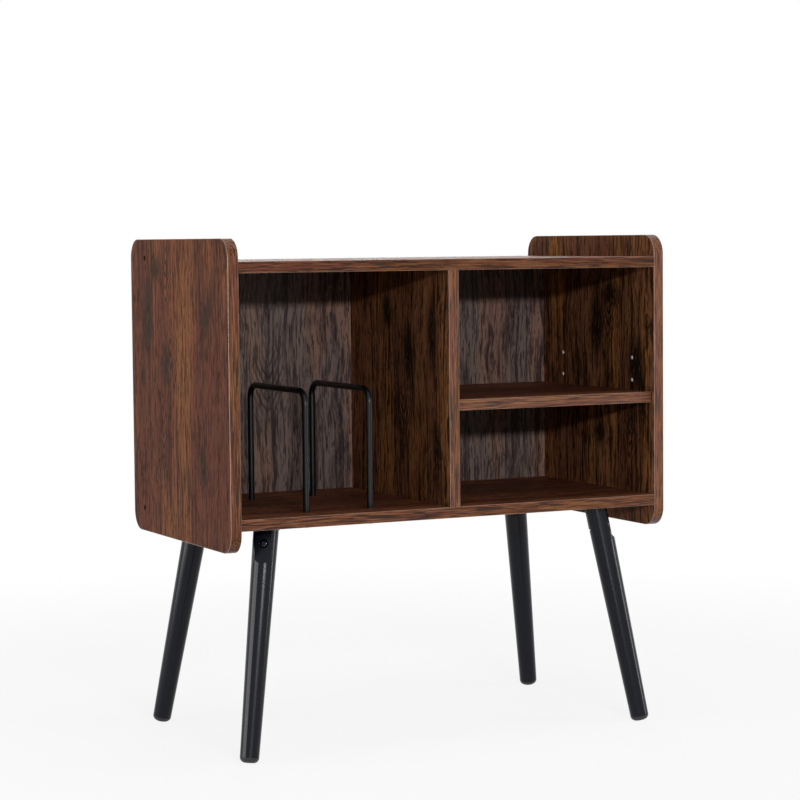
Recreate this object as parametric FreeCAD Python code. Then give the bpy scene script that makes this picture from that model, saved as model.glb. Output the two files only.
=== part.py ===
import FreeCAD, Part
import math
import os

# Record cabinet on four splayed legs. Millimetres, +Z up, the open front faces -Y, and the
# origin is on the floor under the middle of the cabinet.

# Carcass
WIDTH = 700.0             # over the outer faces of the two side panels
DEPTH = 384.0             # of the side panels, and of the boards between them
LEG_HEIGHT = 328.0        # floor to the underside of the bottom panel
BAY_HEIGHT = 340.0        # clear height between the bottom and the top panel
LEFT_BAY_WIDTH = 324.0    # clear width of the record bay
BOARD = 16.0              # thickness of every laminated board
SIDE_RISE = 32.0          # sides stand this far above the top panel and hang below the bottom one
CORNER_RADIUS = 28.0      # rounded corners of the side panels
EDGE_BAND = 1.0           # thickness of the banding glued on the board edges
ARRIS_RADIUS = 0.7        # rounding of the banding's outer edges

# Back panel, held in grooves
BACK_THICKNESS = 5.0
BACK_RECESS = 47.0        # rear edge of the sides to the rear face of the back panel
GROOVE_DEPTH = 6.0
GROOVE_FIT = 0.2          # clearance on each face of a board in its groove

# Plain drilled holes in the outer face of each side panel, near its rear edge
SIDE_HOLE_DIAMETER = 8.0
SIDE_HOLE_DEPTH = 12.0
UPPER_HOLE_REAR_INSET = 59.0
UPPER_HOLE_DROP = 28.0    # below the panel's top edge
LOWER_HOLE_REAR_INSET = 44.0
LOWER_HOLE_RISE = 34.5    # above the panel's bottom edge

# Loose shelf in the right bay, lying on pins
SHELF_CLEAR_HEIGHT = 137.5   # bottom panel to the underside of the shelf
SHELF_SETBACK = 9.0          # shelf front behind the front of the carcass
SHELF_END_GAP = 0.5
SHELF_BACK_GAP = 1.0
PIN_DIAMETER = 5.0
PIN_IN = 8.0
PIN_OUT = 8.0
PIN_HOLE_DEPTH = 9.0
PIN_TOP_GAP = 0.3            # running gap between the pins and the shelf
PIN_FIT = 0.05
PIN_CHAMFER = 0.6
PIN_PITCH = 34.0             # height step of the pin holes
PIN_LEVELS = 3
PIN_FRONT_INSET = 63.0       # front row of pin holes behind the carcass front
PIN_REAR_INSET = 61.0        # rear row in front of the back panel
CAP_HEAD_DIAMETER = 5.6
CAP_HEAD_HEIGHT = 1.2
CAP_STEM_LENGTH = 5.0

# Bent wire dividers in the record bay
WIRE_DIAMETER = 9.0
WIRE_HEIGHT = 176.0          # top of the wire above the bottom panel
WIRE_BEND_RADIUS = 20.0      # on the wire's centre line
WIRE_SPAN = 200.0            # front upright to rear upright
WIRE_FRONT_INSET = 46.0      # front upright behind the carcass front
LEFT_WIRE_PLACE = 118.0      # from the left wall of the bay
RIGHT_WIRE_PLACE = 218.0
WIRE_SCREW_DIAMETER = 5.0
WIRE_SCREW_HOLD = 14.0       # thread length inside the wire
WIRE_HEAD_DIAMETER = 9.0
WIRE_HEAD_HEIGHT = 3.0
WIRE_CAP_DIAMETER = 12.6
WIRE_CAP_HEIGHT = 6.0
SCREW_FIT = 0.15             # clearance round a screw or bolt in its hole

# Cam fittings and dowels between the boards
CAM_DIAMETER = 15.0
CAM_DEPTH = 12.5
CAM_REACH = 34.0             # joint face to the cam's centre
CAM_FIT = 0.1
CAM_SLOT_LENGTH = 9.0
CAM_SLOT_WIDTH = 1.6
CAM_SLOT_DEPTH = 2.0
STUD_DIAMETER = 6.0
STUD_NECK_DIAMETER = 4.0
STUD_NECK_LENGTH = 4.0
STUD_HEAD_LENGTH = 3.0
STUD_HOLD = 11.0             # thread length in the mating board
DOWEL_DIAMETER = 8.0
DOWEL_LENGTH = 30.0
DOWEL_HOLD = 10.0            # dowel length in the mating board
DOWEL_CHAMFER = 1.0
CAM_FRONT_INSET = 42.0
CAM_REAR_INSET = 92.0
DOWEL_FROM_CAM = 45.0
DIVIDER_SCREW_DIAMETER = 5.0
DIVIDER_SCREW_LENGTH = 50.0
DIVIDER_SCREW_HEAD = 10.0
DIVIDER_SCREW_HEAD_HEIGHT = 2.5
DIVIDER_SCREW_FRONT_INSET = 72.0
DIVIDER_SCREW_REAR_INSET = 70.0   # in front of the back panel

# Legs, turned, tapered and splayed along the cabinet's diagonals
LEG_TOP_DIAMETER = 36.6
LEG_FOOT_DIAMETER = 27.1
LEG_TOP_INSET_X = 80.0       # centre of the leg's top inside the cabinet's side
LEG_TOP_INSET_Y = 64.0       # and inside its front or rear
SPLAY_X = 50.0               # how much further out the foot stands than the top
SPLAY_Y = 45.0
FLAT_TURN = 13.0             # degrees about the leg, from above, by which its flats leave the diagonal
OUTER_FLAT_OFFSET = 14.2     # milled flat on the outboard side, from the leg's centre line
OUTER_FLAT_LENGTH = 56.0
OUTER_FLAT_END_RADIUS = 13.0
INNER_FLAT_OFFSET = 15.5     # and the one on the inboard side, that the bracket lies on
INNER_FLAT_LENGTH = 40.0
INNER_FLAT_END_RADIUS = 15.0
BOLT_DROP = 27.0             # bolt centre below the bottom panel
BOLT_DIAMETER = 6.0
BOLT_HEAD_DIAMETER = 12.0
BOLT_HEAD_HEIGHT = 4.0
BOLT_SOCKET_WIDTH = 4.0
BOLT_SOCKET_DEPTH = 2.5
COUNTERBORE_DIAMETER = 15.0
COUNTERBORE_DEPTH = 8.0
WASHER_DIAMETER = 12.0
WASHER_THICKNESS = 1.2
NUT_WIDTH = 10.0
NUT_HEIGHT = 3.2             # thin nut, sunk in the leg behind the bracket
NUT_POCKET_DIAMETER = 13.0
NUT_POCKET_GAP = 0.3
FOOT_ROUNDING = 8.0
FOOT_FLAT_DEPTH = 0.5        # flattening of the rounded foot where it stands
GLIDE_HEIGHT = 7.0
GLIDE_STEM_DIAMETER = 5.0
GLIDE_STEM_LENGTH = 14.0

# Pressed steel bracket that holds each leg
PLATE = 2.5
BRACKET_WIDTH = 30.0
BRACKET_REACH = 44.0         # length of the base, inboard of the flange
BRACKET_BEND_RADIUS = 2.0
FLANGE_WIDTH = 18.0
FLANGE_LENGTH = 36.0
LIP_ROOT_DEPTH = 10.0        # turned-down side lips, below the bottom panel at the leg
LIP_TIP_DEPTH = 6.0
LIP_END_SETBACK = 2.0
BRACKET_SCREW_DIAMETER = 4.0
BRACKET_SCREW_HOLD = 11.5    # screw length in the bottom panel
BRACKET_SCREW_HEAD = 7.6
BRACKET_SCREW_HEAD_HEIGHT = 2.6
BRACKET_SCREW_TIP = 3.0
TIP_SHARE = 0.1              # radius of the blunt point, of the screw's diameter
BRACKET_SCREW_END_INSET = 9.0
BRACKET_SCREW_SPACING_X = 20.0
BRACKET_SCREW_SPACING_Y = 16.0
RECESS_WIDTH = 1.2           # arms of a cross recess
RECESS_DEPTH = 1.2

OVERRUN = 8.0                # how far cutting shapes pass the surface that they cut
SAME_PLACE = 0.001           # two coordinates closer than this are the same

# Planes and edges worked out from the sizes above
SIDE_X = WIDTH / 2
INNER_X = SIDE_X - BOARD
FRONT_Y = -DEPTH / 2
REAR_Y = DEPTH / 2
BOTTOM_Z = LEG_HEIGHT
FLOOR_Z = BOTTOM_Z + BOARD
CEILING_Z = FLOOR_Z + BAY_HEIGHT
TOP_Z = CEILING_Z + BOARD
SIDE_BOTTOM_Z = BOTTOM_Z - SIDE_RISE
SIDE_TOP_Z = TOP_Z + SIDE_RISE
DIVIDER_LEFT_X = -INNER_X + LEFT_BAY_WIDTH
DIVIDER_RIGHT_X = DIVIDER_LEFT_X + BOARD
BACK_REAR_Y = REAR_Y - BACK_RECESS
BACK_FRONT_Y = BACK_REAR_Y - BACK_THICKNESS
SHELF_Z = FLOOR_Z + SHELF_CLEAR_HEIGHT
PIN_Z = SHELF_Z - PIN_TOP_GAP - PIN_DIAMETER / 2
PIN_FRONT_Y = FRONT_Y + PIN_FRONT_INSET
PIN_REAR_Y = BACK_FRONT_Y - PIN_REAR_INSET
CORE_FRONT_Y = FRONT_Y + EDGE_BAND
CORE_REAR_Y = REAR_Y - EDGE_BAND
DIVIDER_X = DIVIDER_LEFT_X + BOARD / 2
TOP_JOINT_Z = CEILING_Z + BOARD / 2
BOTTOM_JOINT_Z = BOTTOM_Z + BOARD / 2
SPLAY = math.hypot(SPLAY_X, SPLAY_Y)
LEG_LENGTH = math.hypot(SPLAY, LEG_HEIGHT)
LEG_LEAN = math.atan2(SPLAY, LEG_HEIGHT)
FLANGE_LEAN = math.asin(math.cos(math.radians(FLAT_TURN)) * math.sin(LEG_LEAN))
BRACKET_TURN = math.degrees(math.atan2(math.tan(math.radians(FLAT_TURN)), math.cos(LEG_LEAN)))

ORIGIN = FreeCAD.Vector()
AXIS_X = FreeCAD.Vector(1, 0, 0)
AXIS_Y = FreeCAD.Vector(0, 1, 0)
AXIS_Z = FreeCAD.Vector(0, 0, 1)
HALF_TURN = 180.0
QUARTER_TURN = 90.0
HEXAGON_CORNERS = 6


def at(x, y, z):
    """A point."""
    return FreeCAD.Vector(x, y, z)


def block(x0, x1, y0, y1, z0, z1):
    """A box between two corners."""
    return Part.makeBox(x1 - x0, y1 - y0, z1 - z0, at(x0, y0, z0))


def rod(diameter, start, end):
    """A round bar from one point to another."""
    run = end.sub(start)
    return Part.makeCylinder(diameter / 2, run.Length, start, run)


def hexagon_bar(width, start, end):
    """A hexagonal bar across flats, from one point to another along X."""
    half_side = math.pi / HEXAGON_CORNERS
    corner = width / 2 / math.cos(half_side)
    points = []
    for step in range(HEXAGON_CORNERS):
        angle = (2 * step + 1) * half_side
        points.append(start.add(at(0, corner * math.cos(angle), corner * math.sin(angle))))
    points.append(points[0])
    return Part.Face(Part.makePolygon(points)).extrude(end.sub(start))


def joined(shapes):
    """One solid from pieces that touch or overlap."""
    whole = shapes[0].fuse(shapes[1:])
    return whole.removeSplitter()


def moved(shape, place):
    """A copy of a shape, put in its place."""
    copy = shape.copy()
    copy.Placement = place.multiply(copy.Placement)
    return copy


def mirrored_x(shape):
    """A copy of a shape, mirrored to the other side of the cabinet."""
    return shape.mirror(ORIGIN, AXIS_X)


def edges_on(shape, test):
    """The edges whose two ends, and middle, all pass a test."""
    found = []
    for edge in shape.Edges:
        middle = edge.valueAt((edge.FirstParameter + edge.LastParameter) / 2)
        spots = [vertex.Point for vertex in edge.Vertexes] + [middle]
        if all(test(spot) for spot in spots):
            found.append(edge)
    return found


def near(value, target):
    """Whether two coordinates are the same."""
    return abs(value - target) < SAME_PLACE


def round_rims(shape, test):
    """The circular edges that pass a test."""
    return [edge for edge in edges_on(shape, test) if isinstance(edge.Curve, Part.Circle)]


# Laminated boards and the banding on their edges

def front_band(x0, x1, z0, z1, outer_y, inner_y):
    """A straight strip of banding on the front or rear edge of a board, its long arrises rounded."""
    strip = block(x0, x1, min(outer_y, inner_y), max(outer_y, inner_y), z0, z1)
    lying = x1 - x0 > z1 - z0

    def long_outer(spot):
        along_end = near(spot.z, z0) or near(spot.z, z1) if lying else near(spot.x, x0) or near(spot.x, x1)
        return near(spot.y, outer_y) and along_end
    return strip.makeFillet(ARRIS_RADIUS, edges_on(strip, long_outer))


def rounded_panel(inset, radius):
    """The left side panel's outline as a board, drawn in by an inset all round its edges."""
    front, rear = FRONT_Y + inset, REAR_Y - inset
    low, high = SIDE_BOTTOM_Z + inset, SIDE_TOP_Z - inset
    board = block(-SIDE_X, -INNER_X, front, rear, low, high)

    def corner(spot):
        on_y = near(spot.y, front) or near(spot.y, rear)
        on_z = near(spot.z, low) or near(spot.z, high)
        return on_y and on_z
    return board.makeFillet(radius, edges_on(board, corner))


def side_hole(y, z):
    """The cutter of one plain drilled hole in the left side panel's outer face."""
    return rod(SIDE_HOLE_DIAMETER, at(-SIDE_X - OVERRUN, y, z), at(-SIDE_X + SIDE_HOLE_DEPTH, y, z))


def left_side_panel():
    """The left side panel, without its banding."""
    panel = rounded_panel(EDGE_BAND, CORNER_RADIUS - EDGE_BAND)
    groove = block(-INNER_X - GROOVE_DEPTH, -INNER_X + OVERRUN,
                   BACK_FRONT_Y - GROOVE_FIT, BACK_REAR_Y + GROOVE_FIT,
                   FLOOR_Z - GROOVE_DEPTH, CEILING_Z + GROOVE_DEPTH)
    cuts = [groove,
            side_hole(REAR_Y - UPPER_HOLE_REAR_INSET, SIDE_TOP_Z - UPPER_HOLE_DROP),
            side_hole(REAR_Y - LOWER_HOLE_REAR_INSET, SIDE_BOTTOM_Z + LOWER_HOLE_RISE)]
    for place, dowel_y in joint_places(TOP_JOINT_Z, [-1]) + joint_places(BOTTOM_JOINT_Z, [-1]):
        cuts.append(moved(mating_board_holes(dowel_y), place))
    return panel.cut(cuts)


def left_side_band():
    """The banding that runs right round the left side panel, its arrises rounded."""
    outer = rounded_panel(0, CORNER_RADIUS)

    def rim(spot):
        return near(spot.x, -SIDE_X) or near(spot.x, -INNER_X)
    outer = outer.makeFillet(ARRIS_RADIUS, edges_on(outer, rim))
    return outer.cut(rounded_panel(EDGE_BAND, CORNER_RADIUS - EDGE_BAND))


def right_side_panel():
    """The right side panel, which also has the shelf's pin holes."""
    panel = mirrored_x(left_side_panel())
    holes = [rod(PIN_DIAMETER + 2 * PIN_FIT, at(INNER_X - OVERRUN, y, z), at(INNER_X + PIN_HOLE_DEPTH, y, z))
             for y in pin_rows() for z in pin_heights()]
    return panel.cut(holes)


def lying_board(z0, z1):
    """The top or bottom panel's board, between the side panels."""
    return block(-INNER_X, INNER_X, CORE_FRONT_Y, CORE_REAR_Y, z0, z1)


def back_groove(z0, z1):
    """The cutter of the groove that holds the back panel's upper or lower edge."""
    return block(-INNER_X - OVERRUN, INNER_X + OVERRUN,
                 BACK_FRONT_Y - GROOVE_FIT, BACK_REAR_Y + GROOVE_FIT, z0, z1)


def top_panel():
    """The top panel, without its banding."""
    cuts = [back_groove(CEILING_Z - OVERRUN, CEILING_Z + GROOVE_DEPTH)]
    for place, dowel_y in joint_places(TOP_JOINT_Z):
        cuts.append(moved(cam_board_holes(dowel_y), place))
    for place, dowel_y in divider_joint_places():
        cuts.append(moved(mating_board_holes(dowel_y), place))
    return lying_board(CEILING_Z, TOP_Z).cut(cuts)


def bottom_panel():
    """The bottom panel, without its banding, drilled for wires, divider and leg brackets."""
    cuts = [back_groove(FLOOR_Z - GROOVE_DEPTH, FLOOR_Z + OVERRUN)]
    for place, dowel_y in joint_places(BOTTOM_JOINT_Z):
        cuts.append(moved(cam_board_holes(dowel_y), place))
    hole = WIRE_SCREW_DIAMETER + 2 * SCREW_FIT
    for x, y in wire_feet():
        cuts.append(rod(hole, at(x, y, BOTTOM_Z - OVERRUN), at(x, y, FLOOR_Z + OVERRUN)))
    for place in divider_screw_places():
        cuts.append(moved(divider_screw_form(SCREW_FIT), place))
    for spot in leg_spots().values():
        for x, y in bracket_screw_spots():
            cuts.append(moved(on_bracket(bracket_screw_shank(x, y)), spot))
    return lying_board(BOTTOM_Z, FLOOR_Z).cut(cuts)


def divider_panel():
    """The upright board between the two bays, without its banding."""
    board = block(DIVIDER_LEFT_X, DIVIDER_RIGHT_X, CORE_FRONT_Y, BACK_FRONT_Y - GROOVE_FIT,
                  FLOOR_Z, CEILING_Z)
    cuts = [rod(PIN_DIAMETER + 2 * PIN_FIT, at(DIVIDER_RIGHT_X + OVERRUN, y, z),
                at(DIVIDER_RIGHT_X - PIN_HOLE_DEPTH, y, z)) for y in pin_rows() for z in pin_heights()]
    for place, dowel_y in divider_joint_places():
        cuts.append(moved(cam_board_holes(dowel_y), place))
    for place in divider_screw_places():
        cuts.append(moved(divider_screw_form(SCREW_FIT), place))
    return board.cut(cuts)


def back_panel():
    """The thin back panel, in grooves all round."""
    reach = GROOVE_DEPTH - GROOVE_FIT
    return block(-INNER_X - reach, INNER_X + reach, BACK_FRONT_Y, BACK_REAR_Y,
                 FLOOR_Z - reach, CEILING_Z + reach)


# Shelf and what it lies on

def shelf_ends():
    """The shelf's left and right ends."""
    return DIVIDER_RIGHT_X + SHELF_END_GAP, INNER_X - SHELF_END_GAP


def shelf_board():
    """The loose shelf, without its banding."""
    left, right = shelf_ends()
    return block(left, right, FRONT_Y + SHELF_SETBACK + EDGE_BAND, BACK_FRONT_Y - SHELF_BACK_GAP,
                 SHELF_Z, SHELF_Z + BOARD)


def shelf_band():
    """The banding on the shelf's front edge."""
    left, right = shelf_ends()
    front = FRONT_Y + SHELF_SETBACK
    return front_band(left, right, SHELF_Z, SHELF_Z + BOARD, front, front + EDGE_BAND)


def pin_rows():
    """The two rows of pin holes, front and rear."""
    return PIN_FRONT_Y, PIN_REAR_Y


def pin_heights():
    """The heights of the pin holes, from the one in use up."""
    return [PIN_Z + level * PIN_PITCH for level in range(PIN_LEVELS)]


def wall_faces():
    """The two faces that hold pins, each with the direction that points out of it."""
    return (DIVIDER_RIGHT_X, 1), (INNER_X, -1)


def shelf_pin(wall_x, out, y, z):
    """One shelf pin, with a small chamfer at both ends."""
    pin = rod(PIN_DIAMETER, at(wall_x - out * PIN_IN, y, z), at(wall_x + out * PIN_OUT, y, z))
    return pin.makeChamfer(PIN_CHAMFER, round_rims(pin, lambda spot: True))


def hole_cap(wall_x, out, y, z):
    """One cap that closes a spare pin hole: a low bevelled head on a short stem."""
    face = at(wall_x, y, z)
    head = rod(CAP_HEAD_DIAMETER, face, at(wall_x + out * CAP_HEAD_HEIGHT, y, z))
    rim = round_rims(head, lambda spot: near(spot.x, wall_x + out * CAP_HEAD_HEIGHT))
    head = head.makeChamfer(CAP_HEAD_HEIGHT / 2, rim)
    stem = rod(PIN_DIAMETER, at(wall_x - out * CAP_STEM_LENGTH, y, z), face)
    return joined([head, stem])


def shelf_pins():
    """The pins in use."""
    return [shelf_pin(wall_x, out, y, PIN_Z) for wall_x, out in wall_faces() for y in pin_rows()]


def pin_hole_caps():
    """The caps in all the spare holes."""
    return [hole_cap(wall_x, out, y, z) for wall_x, out in wall_faces()
            for y in pin_rows() for z in pin_heights()[1:]]


# Bent wire dividers

def wire_places():
    """The wires' places along the cabinet."""
    return -INNER_X + LEFT_WIRE_PLACE, -INNER_X + RIGHT_WIRE_PLACE


def wire_rows():
    """The front and the rear upright of a wire."""
    front = FRONT_Y + WIRE_FRONT_INSET
    return front, front + WIRE_SPAN


def wire_feet():
    """The places of all the wires' feet on the bottom panel."""
    return [(x, y) for x in wire_places() for y in wire_rows()]


def record_wire(x):
    """One wire: two uprights, two bends and a level bar, its feet drilled for screws from below."""
    front, rear = wire_rows()
    bar_z = FLOOR_Z + WIRE_HEIGHT - WIRE_DIAMETER / 2
    bend = WIRE_BEND_RADIUS
    slant = bend * (1 - math.cos(math.pi / 4))
    front_top = at(x, front, bar_z - bend)
    front_bar = at(x, front + bend, bar_z)
    rear_bar = at(x, rear - bend, bar_z)
    rear_top = at(x, rear, bar_z - bend)
    path = Part.Wire([
        Part.makeLine(at(x, front, FLOOR_Z), front_top),
        Part.Arc(front_top, at(x, front + slant, bar_z - slant), front_bar).toShape(),
        Part.makeLine(front_bar, rear_bar),
        Part.Arc(rear_bar, at(x, rear - slant, bar_z - slant), rear_top).toShape(),
        Part.makeLine(rear_top, at(x, rear, FLOOR_Z)),
    ])
    section = Part.Wire(Part.makeCircle(WIRE_DIAMETER / 2, at(x, front, FLOOR_Z), AXIS_Z))
    wire = path.makePipeShell([section], True, True)
    holes = [rod(WIRE_SCREW_DIAMETER, at(x, y, FLOOR_Z - OVERRUN), at(x, y, FLOOR_Z + WIRE_SCREW_HOLD))
             for y in (front, rear)]
    return wire.cut(holes)


def wire_screw(x, y):
    """One screw up through the bottom panel into a wire's foot."""
    head = rod(WIRE_HEAD_DIAMETER, at(x, y, BOTTOM_Z - WIRE_HEAD_HEIGHT), at(x, y, BOTTOM_Z))
    shank = rod(WIRE_SCREW_DIAMETER, at(x, y, BOTTOM_Z), at(x, y, FLOOR_Z + WIRE_SCREW_HOLD))
    return joined([head, shank])


def wire_screw_cap(x, y):
    """One bevelled cap that hides a screw head under the bottom panel."""
    low = BOTTOM_Z - WIRE_CAP_HEIGHT
    cap = rod(WIRE_CAP_DIAMETER, at(x, y, low), at(x, y, BOTTOM_Z))
    cap = cap.makeChamfer(WIRE_CAP_HEIGHT / 3, round_rims(cap, lambda spot: near(spot.z, low)))
    room = rod(WIRE_HEAD_DIAMETER + 2 * SCREW_FIT, at(x, y, BOTTOM_Z - WIRE_HEAD_HEIGHT - SCREW_FIT),
               at(x, y, BOTTOM_Z + OVERRUN))
    return cap.cut(room)


# Cam fittings: drawn with the joint face at the origin, the cam board along +X and the cam opening to +Z

def cam_lock():
    """A cam: a disc with a cross slot in its open face and a pocket for the stud's head."""
    face = BOARD / 2
    disc = rod(CAM_DIAMETER, at(CAM_REACH, 0, face - CAM_DEPTH), at(CAM_REACH, 0, face))
    reach = CAM_SLOT_LENGTH / 2
    half = CAM_SLOT_WIDTH / 2
    cross = [block(CAM_REACH - reach, CAM_REACH + reach, -half, half, face - CAM_SLOT_DEPTH, face + OVERRUN),
             block(CAM_REACH - half, CAM_REACH + half, -reach, reach, face - CAM_SLOT_DEPTH, face + OVERRUN)]
    pocket_start = at(CAM_REACH - CAM_DIAMETER, 0, 0)
    pocket = rod(STUD_DIAMETER + 2 * CAM_FIT, pocket_start, at(stud_end() + CAM_FIT, 0, 0))
    return disc.cut(cross + [pocket])


def stud_end():
    """How far a stud reaches into the cam board."""
    return CAM_REACH + STUD_HEAD_LENGTH / 2


def cam_stud():
    """A stud: threaded in the mating board, with a necked head inside the cam."""
    neck_end = stud_end() - STUD_HEAD_LENGTH
    neck_start = neck_end - STUD_NECK_LENGTH
    return joined([rod(STUD_DIAMETER, at(-STUD_HOLD, 0, 0), at(neck_start, 0, 0)),
                   rod(STUD_NECK_DIAMETER, at(neck_start, 0, 0), at(neck_end, 0, 0)),
                   rod(STUD_DIAMETER, at(neck_end, 0, 0), at(stud_end(), 0, 0))])


def dowel(dowel_y):
    """A glued wooden dowel beside a cam, chamfered at both ends."""
    peg = rod(DOWEL_DIAMETER, at(-DOWEL_HOLD, dowel_y, 0), at(DOWEL_LENGTH - DOWEL_HOLD, dowel_y, 0))
    return peg.makeChamfer(DOWEL_CHAMFER, round_rims(peg, lambda spot: True))


def cam_board_holes(dowel_y):
    """The cutters in the board that holds the cam."""
    face = BOARD / 2
    bore = rod(CAM_DIAMETER + 2 * CAM_FIT, at(CAM_REACH, 0, face - CAM_DEPTH),
               at(CAM_REACH, 0, face + OVERRUN))
    stud_hole = rod(STUD_DIAMETER + 2 * CAM_FIT, at(-OVERRUN, 0, 0), at(CAM_REACH, 0, 0))
    dowel_hole = rod(DOWEL_DIAMETER, at(-OVERRUN, dowel_y, 0), at(DOWEL_LENGTH - DOWEL_HOLD, dowel_y, 0))
    return bore.fuse([stud_hole, dowel_hole])


def mating_board_holes(dowel_y):
    """The cutters in the board that the stud is screwed into."""
    stud_hole = rod(STUD_DIAMETER, at(-STUD_HOLD, 0, 0), at(OVERRUN, 0, 0))
    dowel_hole = rod(DOWEL_DIAMETER, at(-DOWEL_HOLD, dowel_y, 0), at(OVERRUN, dowel_y, 0))
    return Part.makeCompound([stud_hole, dowel_hole])


def cam_rows():
    """The front and the rear cam along the depth, each with the way from it to its dowel."""
    return (FRONT_Y + CAM_FRONT_INSET, DOWEL_FROM_CAM), (REAR_Y - CAM_REAR_INSET, -DOWEL_FROM_CAM)


def turned(axis, angle):
    """A turn about an axis through the origin, in degrees."""
    return FreeCAD.Placement(ORIGIN, FreeCAD.Rotation(axis, angle))


def shifted(x, y, z):
    """A move without a turn."""
    return FreeCAD.Placement(at(x, y, z), FreeCAD.Rotation())


def joint_places(z, sides=(-1, 1)):
    """The joints at a lying board's ends, its cams opening downwards, each with its dowel's place."""
    joints = []
    for side in sides:
        over = turned(AXIS_X, HALF_TURN) if side < 0 else turned(AXIS_Y, HALF_TURN)
        for y, dowel_y in cam_rows():
            joints.append((shifted(side * INNER_X, y, z).multiply(over), side * dowel_y))
    return joints


def divider_joint_places():
    """The joints between the divider's upper end and the top panel, their cams opening to the right."""
    down = turned(AXIS_Y, QUARTER_TURN)
    return [(shifted(DIVIDER_X, y, CEILING_Z).multiply(down), dowel_y) for y, dowel_y in cam_rows()]


def all_joints():
    """Every cam joint of the cabinet."""
    return joint_places(TOP_JOINT_Z) + joint_places(BOTTOM_JOINT_Z) + divider_joint_places()


def cross_recess(z, depth, reach):
    """The cutter of a cross recess that opens downwards at a height."""
    half = RECESS_WIDTH / 2
    return [block(-reach, reach, -half, half, z - OVERRUN, z + depth),
            block(-half, half, -reach, reach, z - OVERRUN, z + depth)]


def divider_screw_form(fit):
    """The outline of a countersunk screw that points up from the underside, or its hole."""
    shank = DIVIDER_SCREW_DIAMETER / 2 + fit
    head = Part.makeCone(DIVIDER_SCREW_HEAD / 2 + fit, shank, DIVIDER_SCREW_HEAD_HEIGHT)
    return joined([head, Part.makeCylinder(shank, DIVIDER_SCREW_LENGTH + fit)])


def divider_screw():
    """One screw up through the bottom panel into the divider."""
    return divider_screw_form(0).cut(cross_recess(0, RECESS_DEPTH, DIVIDER_SCREW_DIAMETER / 2))


def divider_screw_places():
    """The two screws under the divider."""
    front = FRONT_Y + DIVIDER_SCREW_FRONT_INSET
    rear = BACK_FRONT_Y - DIVIDER_SCREW_REAR_INSET
    return [shifted(DIVIDER_X, y, BOTTOM_Z) for y in (front, rear)]


# Legs: drawn with the centre of the leg's top at the origin, upright, the outboard side to +X

def upright_leg():
    """The turned form, still upright: a taper with a rounded foot, longer than needed at its top."""
    top = LEG_TOP_DIAMETER / 2
    taper = (LEG_TOP_DIAMETER - LEG_FOOT_DIAMETER) / 2 / LEG_LENGTH
    form = Part.makeCone(top - taper * foot_end(), top + taper * OVERRUN, foot_end() + OVERRUN,
                         at(0, 0, -foot_end()))
    rim = edges_on(form, lambda spot: near(spot.z, -foot_end()))
    return form.makeFillet(FOOT_ROUNDING, rim)


def foot_end():
    """Length along the leg to its end, such that the rounded foot is flattened a little on the floor."""
    flat_radius = LEG_FOOT_DIAMETER / 2 - FOOT_ROUNDING
    lift = flat_radius * math.sin(LEG_LEAN) + FOOT_ROUNDING - FOOT_FLAT_DEPTH
    return LEG_LENGTH - lift / math.cos(LEG_LEAN) + FOOT_ROUNDING


def glide_top():
    """Height in the upright leg of the joint between the wood and its glide."""
    return GLIDE_HEIGHT - foot_end()


def flat_cutter(side, offset, length, end_radius):
    """The cutter of a milled flat with a rounded lower end, on the outboard or inboard side."""
    near_x = side * offset
    far_x = side * (LEG_TOP_DIAMETER / 2 + OVERRUN)
    centre_z = end_radius - length
    slot = block(min(near_x, far_x), max(near_x, far_x), -end_radius, end_radius, centre_z, OVERRUN)
    return slot.fuse(rod(2 * end_radius, at(near_x, 0, centre_z), at(far_x, 0, centre_z)))


def bolt_z():
    """Height of the bolt in the upright leg."""
    return -BOLT_DROP / math.cos(LEG_LEAN)


def bolt_cuts():
    """The flats, counterbore, nut pocket and bolt hole of the upright leg, turned about its centre line."""
    room = LEG_TOP_DIAMETER
    z = bolt_z()
    pocket_x = nut_places()[1] + NUT_POCKET_GAP
    cuts = [flat_cutter(1, OUTER_FLAT_OFFSET, OUTER_FLAT_LENGTH, OUTER_FLAT_END_RADIUS),
            flat_cutter(-1, INNER_FLAT_OFFSET, INNER_FLAT_LENGTH, INNER_FLAT_END_RADIUS),
            rod(BOLT_DIAMETER + 2 * SCREW_FIT, at(-room, 0, z), at(room, 0, z)),
            rod(COUNTERBORE_DIAMETER, at(washer_places()[0], 0, z), at(room, 0, z)),
            rod(NUT_POCKET_DIAMETER, at(-room, 0, z), at(pocket_x, 0, z))]
    return [moved(cut, turned(AXIS_Z, FLAT_TURN)) for cut in cuts]


def leg_below_panel(upright):
    """An upright shape, leaned over and trimmed level with the bottom panel and the floor."""
    leaned = moved(upright, turned(AXIS_Y, -math.degrees(LEG_LEAN)))
    room = SPLAY + LEG_TOP_DIAMETER
    return leaned.common(block(-room, room, -room, room, -LEG_HEIGHT, 0))


def leg():
    """One leg with two milled flats, a counterbored bolt hole and a hole for its glide."""
    room = LEG_TOP_DIAMETER
    end = block(-room, room, -room, room, -foot_end() - OVERRUN, glide_top())
    return leg_below_panel(upright_leg().cut(bolt_cuts() + [end, glide_stem()]))


def glide_stem():
    """The stem that holds a glide in the leg's end."""
    return rod(GLIDE_STEM_DIAMETER, at(0, 0, glide_top()), at(0, 0, glide_top() + GLIDE_STEM_LENGTH))


def glide():
    """The rounded plastic end of one leg, with its stem."""
    room = LEG_TOP_DIAMETER
    tip = upright_leg().common(block(-room, room, -room, room, -foot_end() - OVERRUN, glide_top()))
    return leg_below_panel(joined([tip, glide_stem()]))


def washer_places():
    """Where the washer lies along the bolt, from the counterbore's seat to the bolt's head."""
    seat = OUTER_FLAT_OFFSET - COUNTERBORE_DEPTH
    return seat, seat + WASHER_THICKNESS


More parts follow.
